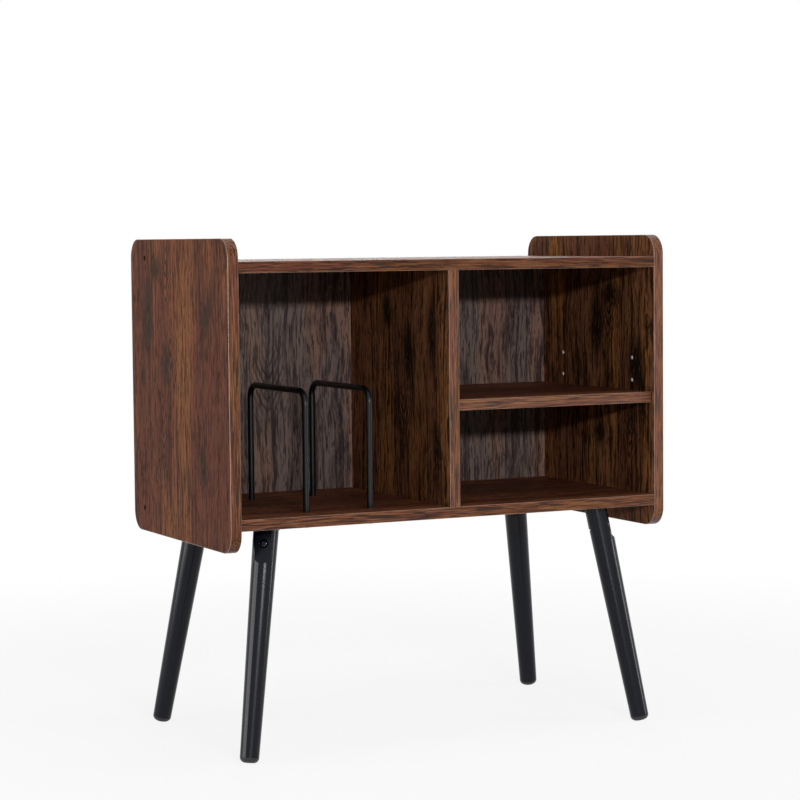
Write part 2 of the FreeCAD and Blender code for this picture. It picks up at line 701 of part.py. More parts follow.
def nut_places():
    """Where the nut lies along the bolt, from the bracket's flange into the leg."""
    return -INNER_FLAT_OFFSET, NUT_HEIGHT - INNER_FLAT_OFFSET


def in_leg(shape):
    """A shape drawn along the bolt of the upright leg, turned and leaned into its place."""
    return moved(shape, turned(AXIS_Y, -math.degrees(LEG_LEAN)).multiply(turned(AXIS_Z, FLAT_TURN)))


def leg_bolt():
    """The bolt through one leg and its bracket, with a hexagonal socket in its head."""
    z = bolt_z()
    under_head = washer_places()[1]
    head_x = under_head + BOLT_HEAD_HEIGHT
    bolt = joined([rod(BOLT_HEAD_DIAMETER, at(under_head, 0, z), at(head_x, 0, z)),
                   rod(BOLT_DIAMETER, at(-INNER_FLAT_OFFSET - PLATE, 0, z), at(under_head, 0, z))])
    socket = hexagon_bar(BOLT_SOCKET_WIDTH, at(head_x - BOLT_SOCKET_DEPTH, 0, z), at(head_x + OVERRUN, 0, z))
    return in_leg(bolt.cut(socket))


def leg_bolt_washer():
    """The washer under the bolt's head."""
    start, end = [at(x, 0, bolt_z()) for x in washer_places()]
    return in_leg(rod(WASHER_DIAMETER, start, end).cut(rod(BOLT_DIAMETER + 2 * SCREW_FIT, start, end)))


def leg_bolt_nut():
    """The thin nut behind the bracket's flange."""
    start, end = [at(x, 0, bolt_z()) for x in nut_places()]
    return in_leg(hexagon_bar(NUT_WIDTH, start, end).cut(rod(BOLT_DIAMETER, start, end)))


# Leg bracket: drawn square to itself, inboard to -X, with the bottom panel's underside at z = 0

def on_flange(across, along):
    """The point at a distance across the leaned flange and a length along it from its top."""
    return at(across * math.cos(FLANGE_LEAN) + along * math.sin(FLANGE_LEAN), 0,
              across * math.sin(FLANGE_LEAN) - along * math.cos(FLANGE_LEAN))


def at_height(across, z):
    """The point of a plane along the flange that lies at a height."""
    return on_flange(across, (across * math.sin(FLANGE_LEAN) - z) / math.cos(FLANGE_LEAN))


def on_bracket(shape):
    """A shape drawn square to the bracket, turned to lie on the leg's inboard flat."""
    return moved(shape, turned(AXIS_Z, BRACKET_TURN))


def bolt_spot():
    """The point on the leg's centre line that the bolt crosses, square to the bracket."""
    out = at(BOLT_DROP * math.tan(LEG_LEAN), 0, -BOLT_DROP)
    return turned(AXIS_Z, -BRACKET_TURN).multVec(out)


def bracket_end_x():
    """The inboard end of the bracket's base."""
    return at_height(-INNER_FLAT_OFFSET, 0).x - BRACKET_REACH


def upright_plate(points, width, middle_y):
    """A plate with an outline in an upright plane along X, thick along Y."""
    side = at(0, middle_y - width / 2, 0)
    outline = [point.add(side) for point in points]
    return Part.Face(Part.makePolygon(outline + outline[:1])).extrude(at(0, width, 0))


def bent_plate():
    """The bracket's base and flange, one plate with a rounded bend."""
    face = -INNER_FLAT_OFFSET
    outer = at_height(face, 0)
    inner = at_height(face - PLATE, -PLATE)
    points = [outer, on_flange(face, FLANGE_LENGTH), on_flange(face - PLATE, FLANGE_LENGTH), inner,
              at(bracket_end_x(), 0, -PLATE), at(bracket_end_x(), 0, 0)]
    plate = upright_plate(points, BRACKET_WIDTH, 0)
    for corner, radius in ((outer, BRACKET_BEND_RADIUS + PLATE), (inner, BRACKET_BEND_RADIUS)):
        bend = edges_on(plate, lambda spot: near(spot.x, corner.x) and near(spot.z, corner.z))
        plate = plate.makeFillet(radius, bend)
    return plate


def bracket_lip(side):
    """One turned-down side lip, deepest at the leg."""
    root = -INNER_FLAT_OFFSET - PLATE / 2
    tip_x = bracket_end_x() + LIP_END_SETBACK
    points = [at_height(root, -PLATE / 2), at_height(root, -LIP_ROOT_DEPTH),
              at(tip_x, 0, -LIP_TIP_DEPTH), at(tip_x, 0, -PLATE / 2)]
    return upright_plate(points, PLATE, side * (BRACKET_WIDTH - PLATE) / 2)


def bracket_screw_spots():
    """The places of a bracket's screws."""
    first = bracket_end_x() + BRACKET_SCREW_END_INSET
    half = BRACKET_SCREW_SPACING_Y / 2
    return [(x, y) for x in (first, first + BRACKET_SCREW_SPACING_X) for y in (-half, half)]


def leg_bracket():
    """One bracket: bent plate, side lips, a narrower flange and its holes."""
    bracket = joined([bent_plate(), bracket_lip(-1), bracket_lip(1)])
    room = LEG_TOP_DIAMETER + BRACKET_REACH
    drop = -2 * FLANGE_LENGTH
    bolt = bolt_spot()
    cuts = [block(-room, room, bolt.y + FLANGE_WIDTH / 2, room, drop, -LIP_ROOT_DEPTH),
            block(-room, room, -room, bolt.y - FLANGE_WIDTH / 2, drop, -LIP_ROOT_DEPTH),
            rod(BOLT_DIAMETER + 2 * SCREW_FIT, bolt, bolt.sub(on_flange(room, 0)))]
    hole = BRACKET_SCREW_DIAMETER + 2 * SCREW_FIT
    for x, y in bracket_screw_spots():
        cuts.append(rod(hole, at(x, y, -PLATE - OVERRUN), at(x, y, OVERRUN)))
    return on_bracket(bracket.cut(cuts))


def bracket_screw_shank(x, y):
    """The pointed shank of a bracket screw, which is also its hole in the bottom panel."""
    shoulder = BRACKET_SCREW_HOLD - BRACKET_SCREW_TIP
    tip = Part.makeCone(BRACKET_SCREW_DIAMETER / 2, BRACKET_SCREW_DIAMETER * TIP_SHARE, BRACKET_SCREW_TIP,
                        at(x, y, shoulder))
    return joined([rod(BRACKET_SCREW_DIAMETER, at(x, y, -PLATE), at(x, y, shoulder)), tip])


def bracket_screw(x, y):
    """One pan-headed screw that holds a bracket to the bottom panel."""
    low = -PLATE - BRACKET_SCREW_HEAD_HEIGHT
    head = rod(BRACKET_SCREW_HEAD, at(0, 0, low), at(0, 0, -PLATE))
    rim = round_rims(head, lambda spot: near(spot.z, low))
    head = head.makeChamfer(BRACKET_SCREW_HEAD_HEIGHT / 3, rim)
    head = head.cut(cross_recess(low, RECESS_DEPTH, BRACKET_SCREW_DIAMETER / 2))
    return on_bracket(joined([moved(head, shifted(x, y, 0)), bracket_screw_shank(x, y)]))


def leg_spots():
    """Each leg's place by name: the top's centre, turned so that the leg splays along the diagonal."""
    spots = {}
    for end, side_y in (("front", -1), ("rear", 1)):
        for side, side_x in (("left", -1), ("right", 1)):
            centre = at(side_x * (SIDE_X - LEG_TOP_INSET_X), side_y * (REAR_Y - LEG_TOP_INSET_Y), BOTTOM_Z)
            angle = math.degrees(math.atan2(side_y * SPLAY_Y, side_x * SPLAY_X))
            spots[end + "_" + side] = FreeCAD.Placement(centre, FreeCAD.Rotation(AXIS_Z, angle))
    return spots


# All the nodes

def carcass_nodes():
    """The boards, their banding and the back panel."""
    left_band = left_side_band()
    nodes = {
        "side_panel_left": [left_side_panel()],
        "side_panel_right": [right_side_panel()],
        "side_edge_band_left": [left_band],
        "side_edge_band_right": [mirrored_x(left_band)],
        "top_panel": [top_panel()],
        "bottom_panel": [bottom_panel()],
        "divider_panel": [divider_panel()],
        "divider_front_band": [front_band(DIVIDER_LEFT_X, DIVIDER_RIGHT_X, FLOOR_Z, CEILING_Z,
                                          FRONT_Y, CORE_FRONT_Y)],
        "back_panel": [back_panel()],
    }
    for name, low, high in (("top", CEILING_Z, TOP_Z), ("bottom", BOTTOM_Z, FLOOR_Z)):
        nodes[name + "_front_band"] = [front_band(-INNER_X, INNER_X, low, high, FRONT_Y, CORE_FRONT_Y)]
        nodes[name + "_rear_band"] = [front_band(-INNER_X, INNER_X, low, high, REAR_Y, CORE_REAR_Y)]
    return nodes


def fitting_nodes():
    """The shelf and its pins, the wires, and what joins the boards."""
    left_wire_x, right_wire_x = wire_places()
    return {
        "shelf_board": [shelf_board()],
        "shelf_front_band": [shelf_band()],
        "shelf_pins": shelf_pins(),
        "pin_hole_caps": pin_hole_caps(),
        "record_wire_left": [record_wire(left_wire_x)],
        "record_wire_right": [record_wire(right_wire_x)],
        "wire_screws": [wire_screw(x, y) for x, y in wire_feet()],
        "wire_screw_caps": [wire_screw_cap(x, y) for x, y in wire_feet()],
        "cam_locks": [moved(cam_lock(), place) for place, _ in all_joints()],
        "cam_studs": [moved(cam_stud(), place) for place, _ in all_joints()],
        "wood_dowels": [moved(dowel(dowel_y), place) for place, dowel_y in all_joints()],
        "divider_screws": [moved(divider_screw(), place) for place in divider_screw_places()],
    }


def leg_nodes():
    """The legs, their glides and brackets, and the fasteners in groups."""
    one_leg, one_glide, one_bracket = leg(), glide(), leg_bracket()
    nodes = {"bracket_screws": [], "leg_bolts": [], "leg_bolt_washers": [], "leg_bolt_nuts": []}
    for name, spot in leg_spots().items():
        nodes["leg_" + name] = [moved(one_leg, spot)]
        nodes["foot_glide_" + name] = [moved(one_glide, spot)]
        nodes["leg_bracket_" + name] = [moved(one_bracket, spot)]
        nodes["bracket_screws"] += [moved(bracket_screw(x, y), spot) for x, y in bracket_screw_spots()]
        nodes["leg_bolts"].append(moved(leg_bolt(), spot))
        nodes["leg_bolt_washers"].append(moved(leg_bolt_washer(), spot))
        nodes["leg_bolt_nuts"].append(moved(leg_bolt_nut(), spot))
    return nodes


def write_nodes(nodes):
    """Write each node to its own file: one solid, or a group of separate solids."""
    os.makedirs("parts", exist_ok=True)
    for name, shapes in nodes.items():
        solids = [solid for shape in shapes for solid in shape.Solids]
        whole = solids[0] if len(solids) == 1 else Part.makeCompound(solids)
        whole.exportStep("parts/" + name + ".step")
        print(name, len(solids), "solids, valid", whole.isValid(), "volume", round(whole.Volume))


write_nodes({**carcass_nodes(), **fitting_nodes(), **leg_nodes()})
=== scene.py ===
"""Looks of a record cabinet: walnut laminated boards, wire dividers and splayed black legs."""

import logging
import math
from dataclasses import dataclass
from enum import Enum
from typing import Any, Sequence

import bmesh
import bpy
from mathutils import Matrix, Vector


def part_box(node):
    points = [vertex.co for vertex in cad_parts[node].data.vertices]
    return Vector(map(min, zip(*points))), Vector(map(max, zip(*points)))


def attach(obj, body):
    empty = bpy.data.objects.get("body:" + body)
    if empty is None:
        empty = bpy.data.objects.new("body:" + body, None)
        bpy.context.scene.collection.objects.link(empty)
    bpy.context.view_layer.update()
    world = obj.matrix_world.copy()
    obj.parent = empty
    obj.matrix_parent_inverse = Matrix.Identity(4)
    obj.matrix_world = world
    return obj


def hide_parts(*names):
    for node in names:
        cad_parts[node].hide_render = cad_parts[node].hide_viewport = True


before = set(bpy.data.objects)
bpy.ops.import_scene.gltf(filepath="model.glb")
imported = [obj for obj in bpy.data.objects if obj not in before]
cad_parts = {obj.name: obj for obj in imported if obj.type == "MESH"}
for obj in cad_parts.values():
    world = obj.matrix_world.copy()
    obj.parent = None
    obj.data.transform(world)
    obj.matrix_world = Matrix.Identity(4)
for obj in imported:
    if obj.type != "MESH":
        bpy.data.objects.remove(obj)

NodeTree = bpy.types.NodeTree
NodeSocket = bpy.types.NodeSocket
Sockets = bpy.types.bpy_prop_collection
Material = bpy.types.Material
Piece = bpy.types.Object
Colour = tuple[float, float, float, float]
Point = tuple[float, float, float]
Profile = tuple[tuple[float, float], ...]

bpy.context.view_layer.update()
LOG = logging.getLogger("record_cabinet")
MM = 0.001
WHITE = (1.0, 1.0, 1.0, 1.0)
FULL_BYTE = 255

# The sRGB curve: where its straight toe ends, the toe's slope, and the offset and power of the rest
SRGB_TOE, SRGB_SLOPE, SRGB_OFFSET, SRGB_POWER = 0.04045, 12.92, 0.055, 2.4

# A Mix node names its sockets alike for every data type, so its inputs and result are taken by number
COLOUR_A, COLOUR_B, COLOUR_RESULT = 6, 7, 2
VECTOR_A, VECTOR_B, VECTOR_RESULT = 4, 5, 1

# How far a surface faces along each of two axes when it faces half way between them
HALF_WAY = math.sqrt(0.5)

# The rise of a profile's step that only goes outwards, in millimetres: next to nothing
OUTWARDS = 0.0001


class Axis(Enum):
    """An axis of the cabinet: X along the front, Y to the rear, Z up."""

    X = 0
    Y = 1
    Z = 2

    def third(self, other: "Axis") -> "Axis":
        """The axis square to this one and to another."""
        return Axis(sum(axis.value for axis in Axis) - self.value - other.value)


def linear(hex_colour: str) -> Colour:
    """Turns an sRGB hex colour into linear light.

    Args:
        hex_colour: Six hex digits after a hash.

    Returns:
        Red, green, blue and an alpha of one.
    """
    parts = [byte / FULL_BYTE for byte in bytes.fromhex(hex_colour[1:])]
    red, green, blue = (part / SRGB_SLOPE if part <= SRGB_TOE
                        else ((part + SRGB_OFFSET) / (1 + SRGB_OFFSET)) ** SRGB_POWER for part in parts)
    return red, green, blue, 1.0


def add_node(tree: NodeTree, kind: str, inputs: dict[str | int, Any] | None = None,
             **settings: Any) -> Sockets:
    """Adds one node to a tree, with its settings, its input values and its links.

    Args:
        tree: The tree that gets the node.
        kind: The node's type, without the ShaderNode before it.
        inputs: Input sockets by name or number, each with a value or with an output socket to link.
        **settings: Properties of the node by name.

    Returns:
        The new node's output sockets.
    """
    node = tree.nodes.new("ShaderNode" + kind)
    for name, value in settings.items():
        setattr(node, name, value)
    for name, value in (inputs or {}).items():
        if isinstance(value, NodeSocket):
            tree.links.new(value, node.inputs[name])
        else:
            node.inputs[name].default_value = value
    return node.outputs


def new_material(name: str) -> tuple[Material, NodeTree]:
    """Makes an empty node material.

    Args:
        name: The finish's name.

    Returns:
        The material and its node tree, with no nodes in it.
    """
    material = bpy.data.materials.new(name)
    material.use_nodes = True
    material.node_tree.nodes.clear()
    return material, material.node_tree


def add_surface(tree: NodeTree, look: dict[str, Any], relief: NodeSocket, size_mm: float, strength: float,
                sunk: bool = False) -> None:
    """Ends a finish with its relief, its shader and its output.

    Args:
        tree: The finish's tree.
        look: The shader's inputs, but for its normal.
        relief: Where the surface stands out, or is sunk, from 0 to 1.
        size_mm: How far.
        strength: How strongly it shows.
        sunk: Whether it is sunk.
    """
    height = {"Height": relief, "Distance": size_mm * MM, "Strength": strength}
    bump = add_node(tree, "Bump", height, invert=sunk)[0]
    shader = add_node(tree, "BsdfPrincipled", {**look, "Normal": bump})[0]
    add_node(tree, "OutputMaterial", {"Surface": shader})


def dress(node: str, material: Material) -> None:
    """Gives every material slot of a CAD node one finish.

    Args:
        node: The node's name.
        material: The finish.
    """
    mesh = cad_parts[node].data
    if not mesh.materials:
        mesh.materials.append(material)
    for number in range(len(mesh.materials)):
        mesh.materials[number] = material
    LOG.info("%s: dressed in %s", node, material.name)


# Printed finishes


@dataclass(frozen=True)
class Spots:
    """Spots all over a print: their real width, and their length along the grain, in millimetres.

    They start at one value of the noise and are full at another. Detail is how many finer levels they have.
    """

    width: float
    length: float
    start: float
    full: float
    strength: float
    detail: float = 2.0


@dataclass(frozen=True)
class Mark:
    """A knot, stain or streak in a print: its middle on the board and its half sizes, in millimetres."""

    across: float
    along: float
    half_width: float
    half_length: float


@dataclass(frozen=True)
class Arch:
    """A nest of pointed arches in a print: its tip, half width, length and spacing, in millimetres."""

    across: float
    along: float
    half_width: float
    length: float
    spacing: float = 18.0
    steepness: float = 2.5

    @property
    def room(self) -> Mark:
        """The oval of board that the nest fades out in."""
        return Mark(self.across, self.along + self.length / 2, self.half_width, self.length / 2)


@dataclass
class Printed:
    """A printed pattern under construction: its tree, and where a point is on the board."""

    tree: NodeTree
    grain: Axis
    thickness: Axis
    shift: float
    place: NodeSocket
    noise_roughness: float = 0.55
    mark_full: float = 0.15
    mark_gone: float = 1.5
    line_start: float = -0.1
    arch_tip_mm: float = 5.0
    knot_rings: float = 1.5
    ring_start: float = -0.3

    @property
    def across(self) -> int:
        """The number of the axis across the grain."""
        return self.grain.third(self.thickness).value

    def mapped(self, width: float, length: float, middle: tuple[float, float] | None = None) -> NodeSocket:
        """Coordinates in which a pattern this wide across the grain, and this long along it, is one unit.

        Args:
            width: Real size across the grain, in millimetres.
            length: Real size along the grain, in millimetres.
            middle: Where it is centred, across and along the grain, or none for a pattern all over.

        Returns:
            The coordinates. A centred pattern has none through the board's thickness.
        """
        scale = Vector([1 / (width * MM)] * 3)
        scale[self.grain.value] = 1 / (length * MM)
        move = Vector([self.shift] * 3)
        if middle:
            scale[self.thickness.value] = 0
            move = Vector()
            move[self.across] = -scale[self.across] * middle[0] * MM
            move[self.grain.value] = -scale[self.grain.value] * middle[1] * MM
        return add_node(self.tree, "Mapping", {"Vector": self.place, "Scale": scale, "Location": move})[0]

    def cloud(self, spots: Spots) -> NodeSocket:
        """A share that comes and goes over the board in spots of a real size.

        Args:
            spots: Their sizes.

        Returns:
            The share.
        """
        noise = add_node(self.tree, "TexNoise", {
            "Vector": self.mapped(spots.width, spots.length), "Scale": 1.0, "Detail": spots.detail,
            "Roughness": self.noise_roughness})[0]
        span = {"Value": noise, "From Min": spots.start, "From Max": spots.full}
        return add_node(self.tree, "MapRange", span, interpolation_type="SMOOTHSTEP")[0]

    def far_out(self, mark: Mark) -> NodeSocket:
        """How far a point is from a mark's middle, in the mark's half sizes.

        Args:
            mark: Its place and half sizes.

        Returns:
            The distance.
        """
        place = self.mapped(mark.half_width, mark.half_length, (mark.across, mark.along))
        return add_node(self.tree, "VectorMath", {0: place}, operation="LENGTH")["Value"]

    def patch(self, mark: Mark) -> NodeSocket:
        """One soft oval patch.

        Args:
            mark: Its place and half sizes.

        Returns:
            The share, one in the middle.
        """
        span = {"Value": self.far_out(mark), "From Min": self.mark_gone, "From Max": self.mark_full}
        return add_node(self.tree, "MapRange", span, interpolation_type="SMOOTHERSTEP")[0]

    def arches(self, arch: Arch) -> NodeSocket:
        """A nest of pointed arches, as where a board is sawn just through the tree's heart.

        Args:
            arch: Its tip and sizes.

        Returns:
            The share of its dark lines.
        """
        place = self.mapped(1 / MM, 1 / MM, (arch.across, arch.along))
        apart = add_node(self.tree, "SeparateXYZ", {0: place})
        blunt = add_node(self.tree, "CombineXYZ", {0: apart[self.across], 1: self.arch_tip_mm * MM})[0]
        aside = add_node(self.tree, "VectorMath", {0: blunt}, operation="LENGTH")["Value"]
        travel = add_node(self.tree, "Math", {0: aside, 1: -arch.steepness, 2: apart[self.grain.value]},
                          operation="MULTIPLY_ADD")[0]
        per_metre = 2 * math.pi / (arch.spacing * MM)
        turn = add_node(self.tree, "Math", {0: travel, 1: per_metre}, operation="MULTIPLY")[0]
        wave = add_node(self.tree, "Math", {0: turn}, operation="SINE")[0]
        span = {"Value": wave, "From Min": self.line_start}
        lines = add_node(self.tree, "MapRange", span, interpolation_type="SMOOTHSTEP")[0]
        return add_node(self.tree, "Math", {0: lines, 1: self.patch(arch.room)}, operation="MULTIPLY")[0]

    def knot(self, mark: Mark) -> NodeSocket:
        """A knot: rings round a dark eye.

        Args:
            mark: Its place and half sizes.

        Returns:
            The share of its dark lines.
        """
        per_size = 2 * math.pi * self.knot_rings
        turn = add_node(self.tree, "Math", {0: self.far_out(mark), 1: per_size}, operation="MULTIPLY")[0]
        rings = add_node(self.tree, "Math", {0: turn}, operation="COSINE")[0]
        dark = add_node(self.tree, "MapRange", {"Value": rings, "From Min": self.ring_start})[0]
        return add_node(self.tree, "Math", {0: dark, 1: self.patch(mark)}, operation="MULTIPLY")[0]

    def laid_over(self, colour: Colour | NodeSocket, share: NodeSocket, strength: float,
                  ink: str) -> NodeSocket:
        """Lays an ink over what is printed already.

        Args:
            colour: What is printed already.
            share: Where the ink goes.
            strength: How strong it is there.
            ink: Its colour.

        Returns:
            The new colour.
        """
        amount = add_node(self.tree, "Math", {0: share, 1: strength}, operation="MULTIPLY")[0]
        return add_node(self.tree, "Mix", {"Factor": amount, COLOUR_A: colour, COLOUR_B: linear(ink)},
                        data_type="RGBA")[COLOUR_RESULT]


@dataclass(frozen=True)
class WalnutLaminate:
    """Melamine-faced particle board, printed as old walnut and pressed against an embossed plate.

    It gives the eye a satin brown with long dark growth lines, gold and plum streaks and smoky stains. Its
    pores are darker and more matt. Its holes and grooves show the raw board, drawn dark brown as painted
    shade in them. The real pores are a few tenths of a millimetre wide. They are drawn 2.4 mm wide, as
    coarse as they need to be to show.
    """

    name: str
    node: str
    grain: Axis
    thickness: Axis
    arches: tuple[Arch, ...] = ()
    knots: tuple[Mark, ...] = ()
    stains: tuple[Mark, ...] = ()
    streaks: tuple[Mark, ...] = ()
    shift: float = 0.0
    ground: str = "#8a543b"
    golden: str = "#9a643b"
    plum: str = "#67392c"
    dark: str = "#361c14"
    pore: str = "#1f120c"
    smoke: str = "#30231b"
    # Drawn dark brown, the raw board in holes and grooves is painted shade
    core_in_painted_shade: str = "#4d3a28"
    contrast: float = 1.0
    roughness: float = 0.5
    sheen: float = 0.04
    glow: Spots = Spots(34, 260, 0.46, 0.66, 0.7)
    blush: Spots = Spots(80, 700, 0.46, 0.58, 0.8, 1)
    growth_lines: Spots = Spots(7.5, 240, 0.49, 0.64, 0.8, 4)
    fibres: Spots = Spots(3.4, 62, 0.51, 0.61, 0.75, 3)
    smudges: Spots = Spots(38, 110, 0.56, 0.7, 0.5, 3)
    flecks: Spots = Spots(2.8, 14, 0.56, 0.68, 0.22, 1)
    pores: Spots = Spots(2.4, 20, 0.57, 0.65, 0.6, 1)
    streak_strength: float = 0.8
    arch_strength: float = 0.9
    stain_strength: float = 0.85
    knot_strength: float = 0.85
    pore_depth_mm: float = 0.08
    pore_relief: float = 0.7
    pore_matt: float = 0.16
    waves_per_metre: float = 7.0
    waviness_mm: float = 22.0
    face_mm: float = 0.25
    crumbs_per_metre: float = 900.0
    crumb_strength: float = 0.5

    def printed_colour(self, ink: Printed) -> tuple[NodeSocket, NodeSocket]:
        """Prints the board, layer by layer.

        Args:
            ink: The pattern under construction.

        Returns:
            The colour, and the share of the embossed pores.
        """
        gain = self.contrast
        pores = ink.cloud(self.pores)
        layers = [
            (ink.cloud(self.glow), self.glow.strength, self.golden),
            (ink.cloud(self.blush), self.blush.strength, self.plum),
            *((ink.patch(streak), self.streak_strength, self.golden) for streak in self.streaks),
            (ink.cloud(self.growth_lines), self.growth_lines.strength * gain, self.dark),
            (ink.cloud(self.fibres), self.fibres.strength * gain, self.dark),
            *((ink.arches(arch), self.arch_strength * gain, self.dark) for arch in self.arches),
            (ink.cloud(self.smudges), self.smudges.strength * gain, self.smoke),
            *((ink.patch(stain), self.stain_strength * gain, self.smoke) for stain in self.stains),
            *((ink.knot(knot), self.knot_strength, self.pore) for knot in self.knots),
            (ink.cloud(self.flecks), self.flecks.strength * gain, self.golden),
            (pores, self.pores.strength * gain, self.pore),
        ]
        colour = linear(self.ground)
        for share, strength, tint in layers:
            colour = ink.laid_over(colour, share, min(strength, 1.0), tint)
        return colour, pores

    def wavy(self, tree: NodeTree, place: NodeSocket) -> NodeSocket:
        """Lets the print's lines wander slowly.

        Args:
            tree: The finish's tree.
            place: The cabinet's coordinates.

        Returns:
            The coordinates, moved by up to half the waviness each way.
        """
        size = Vector([self.waviness_mm * MM] * 3)
        slow = add_node(tree, "TexNoise", {"Vector": place, "Scale": self.waves_per_metre})["Color"]
        away = add_node(tree, "VectorMath", {0: slow, 1: size, 2: place}, operation="MULTIPLY_ADD")[0]
        return add_node(tree, "VectorMath", {0: away, 1: -size / 2}, operation="ADD")[0]

    def core_share(self, tree: NodeTree, place: NodeSocket) -> NodeSocket:
        """Where the raw particle board shows: in holes, grooves and slots, under the printed faces.

        Args:
            tree: The finish's tree.
            place: The cabinet's coordinates.

        Returns:
            One inside the board, and nought on its two faces.
        """
        low, high = (corner[self.thickness.value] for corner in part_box(self.node))
        through = add_node(tree, "SeparateXYZ", {0: place})[self.thickness.value]
        off = add_node(tree, "Math", {0: through, 1: (low + high) / 2}, operation="SUBTRACT")[0]
        depth = add_node(tree, "Math", {0: off}, operation="ABSOLUTE")[0]
        skin = (high - low) / 2 - self.face_mm * MM
        return add_node(tree, "Math", {0: depth, 1: skin}, operation="LESS_THAN")[0]

    def build(self) -> Material:
        """Makes the material.

        Returns:
            The finish as a material.
        """
        material, tree = new_material(self.name)
        place = add_node(tree, "TexCoord")["Object"]
        ink = Printed(tree, self.grain, self.thickness, self.shift, self.wavy(tree, place))
        colour, pores = self.printed_colour(ink)
        inside = self.core_share(tree, place)
        # The raw board inside holes and grooves is drawn dark brown, painted shade in them, and dark crumbs
        # go on it
        colour = ink.laid_over(colour, inside, 1.0, self.core_in_painted_shade)
        crumbs = add_node(tree, "TexNoise", {"Vector": place, "Scale": self.crumbs_per_metre})[0]
        bared = add_node(tree, "Math", {0: crumbs, 1: inside}, operation="MULTIPLY")[0]
        colour = ink.laid_over(colour, bared, self.crumb_strength, self.dark)
        matt = self.roughness + self.pore_matt
        gloss = add_node(tree, "MapRange", {"Value": pores, "To Min": self.roughness, "To Max": matt})[0]
        look = {"Base Color": colour, "Roughness": gloss, "Specular IOR Level": self.sheen}
        add_surface(tree, look, pores, self.pore_depth_mm, self.pore_relief, sunk=True)
        return material


@dataclass(frozen=True)
class WalnutEdgeBand:
    """Edge banding: a millimetre of plastic, printed as walnut and scraped flush with the board.

    It gives the eye a warmer, glossier brown than the faces, full of dark dashes and light flecks, with a
    pale line painted on the arrises that the scraper rounded: a painted highlight. The real dashes are about
    half a millimetre wide. They are drawn 1.7 mm wide, the finest that shows.
    """

    name: str
    grain: Axis
    board_thickness: Axis
    shift: float
    ground: str = "#7a462c"
    golden: str = "#905a2b"
    red: str = "#7b3f2e"
    dash: str = "#2a160d"
    fleck: str = "#a26f4b"
    # The pale colour of the painted highlight on the rounded arrises
    arris_highlight: str = "#c9a08c"
    roughness: float = 0.38
    shine: float = 0.4
    glow: Spots = Spots(7, 170, 0.44, 0.6, 0.85)
    blush: Spots = Spots(9, 240, 0.48, 0.6, 0.75, 1)
    growth_lines: Spots = Spots(3.2, 110, 0.52, 0.62, 0.65, 3)
    flecks: Spots = Spots(1.6, 46, 0.52, 0.59, 0.7)
    dashes: Spots = Spots(1.7, 42, 0.52, 0.58, 0.88)
    dash_depth_mm: float = 0.05
    dash_relief: float = 0.5
    arris_facing: float = 0.66
    arris_full: float = 0.2
    arris_gone: float = 0.34
    arris_highlight_strength: float = 0.7
    arris_roughness: float = 0.22
    arris_shine: float = 1.0

    def place_along(self, tree: NodeTree, place: NodeSocket, normal: NodeSocket, depth: Axis) -> NodeSocket:
        """Lets the print follow the strip round a corner: past it, the grain runs along what was the depth.

        Args:
            tree: The finish's tree.
            place: The cabinet's coordinates.
            normal: The way that the surface faces.
            depth: The axis through the strip before the corner.

        Returns:
            The coordinates, with grain and depth exchanged where the surface faces along the grain.
        """
        along = add_node(tree, "SeparateXYZ", {0: normal})[self.grain.value]
        size = add_node(tree, "Math", {0: along}, operation="ABSOLUTE")[0]
        past = add_node(tree, "Math", {0: size, 1: HALF_WAY}, operation="GREATER_THAN")[0]
        apart = add_node(tree, "SeparateXYZ", {0: place})
        exchanged = {self.board_thickness.value: apart[self.board_thickness.value],
                     self.grain.value: apart[depth.value], depth.value: apart[self.grain.value]}
        turned = add_node(tree, "CombineXYZ", exchanged)[0]
        return add_node(tree, "Mix", {"Factor": past, VECTOR_A: place, VECTOR_B: turned},
                        data_type="VECTOR")[VECTOR_RESULT]

    def rounded_arris_share(self, tree: NodeTree, normal: NodeSocket) -> NodeSocket:
        """Where the long arrises are scraped round: there the surface faces half way to the board's face.

        Args:
            tree: The finish's tree.
            normal: The way that the surface faces.

        Returns:
            One on the arrises, and nought on flat faces.
        """
        facing_out = add_node(tree, "SeparateXYZ", {0: normal})[self.board_thickness.value]
        size = add_node(tree, "Math", {0: facing_out}, operation="ABSOLUTE")[0]
        off = add_node(tree, "Math", {0: size, 1: self.arris_facing}, operation="SUBTRACT")[0]
        gap = add_node(tree, "Math", {0: off}, operation="ABSOLUTE")[0]
        span = {"Value": gap, "From Min": self.arris_gone, "From Max": self.arris_full}
        return add_node(tree, "MapRange", span, interpolation_type="SMOOTHSTEP")[0]

    def build(self) -> Material:
        """Makes the material.

        Returns:
            The finish as a material.
        """
        material, tree = new_material(self.name)
        coordinates = add_node(tree, "TexCoord")
        depth = self.grain.third(self.board_thickness)
        place = self.place_along(tree, coordinates["Object"], coordinates["Normal"], depth)
        ink = Printed(tree, self.grain, depth, self.shift, place)
        dashes = ink.cloud(self.dashes)
        rounded_arris = self.rounded_arris_share(tree, coordinates["Normal"])
        layers = (
            (ink.cloud(self.glow), self.glow.strength, self.golden),
            (ink.cloud(self.blush), self.blush.strength, self.red),
            (ink.cloud(self.growth_lines), self.growth_lines.strength, self.dash),
            (ink.cloud(self.flecks), self.flecks.strength, self.fleck),
            (dashes, self.dashes.strength, self.dash),
            # A pale painted highlight on the rounded arrises, which also get a real higher gloss below
            (rounded_arris, self.arris_highlight_strength, self.arris_highlight),
        )
        colour = linear(self.ground)
        for share, strength, tint in layers:
            colour = ink.laid_over(colour, share, strength, tint)
        look = {"Base Color": colour}
        for name, flat, rounded in (("Roughness", self.roughness, self.arris_roughness),
                                    ("Specular IOR Level", self.shine, self.arris_shine)):
            span = {"Value": rounded_arris, "To Min": flat, "To Max": rounded}
            look[name] = add_node(tree, "MapRange", span)[0]
        add_surface(tree, look, dashes, self.dash_depth_mm, self.dash_relief, sunk=True)
        return material


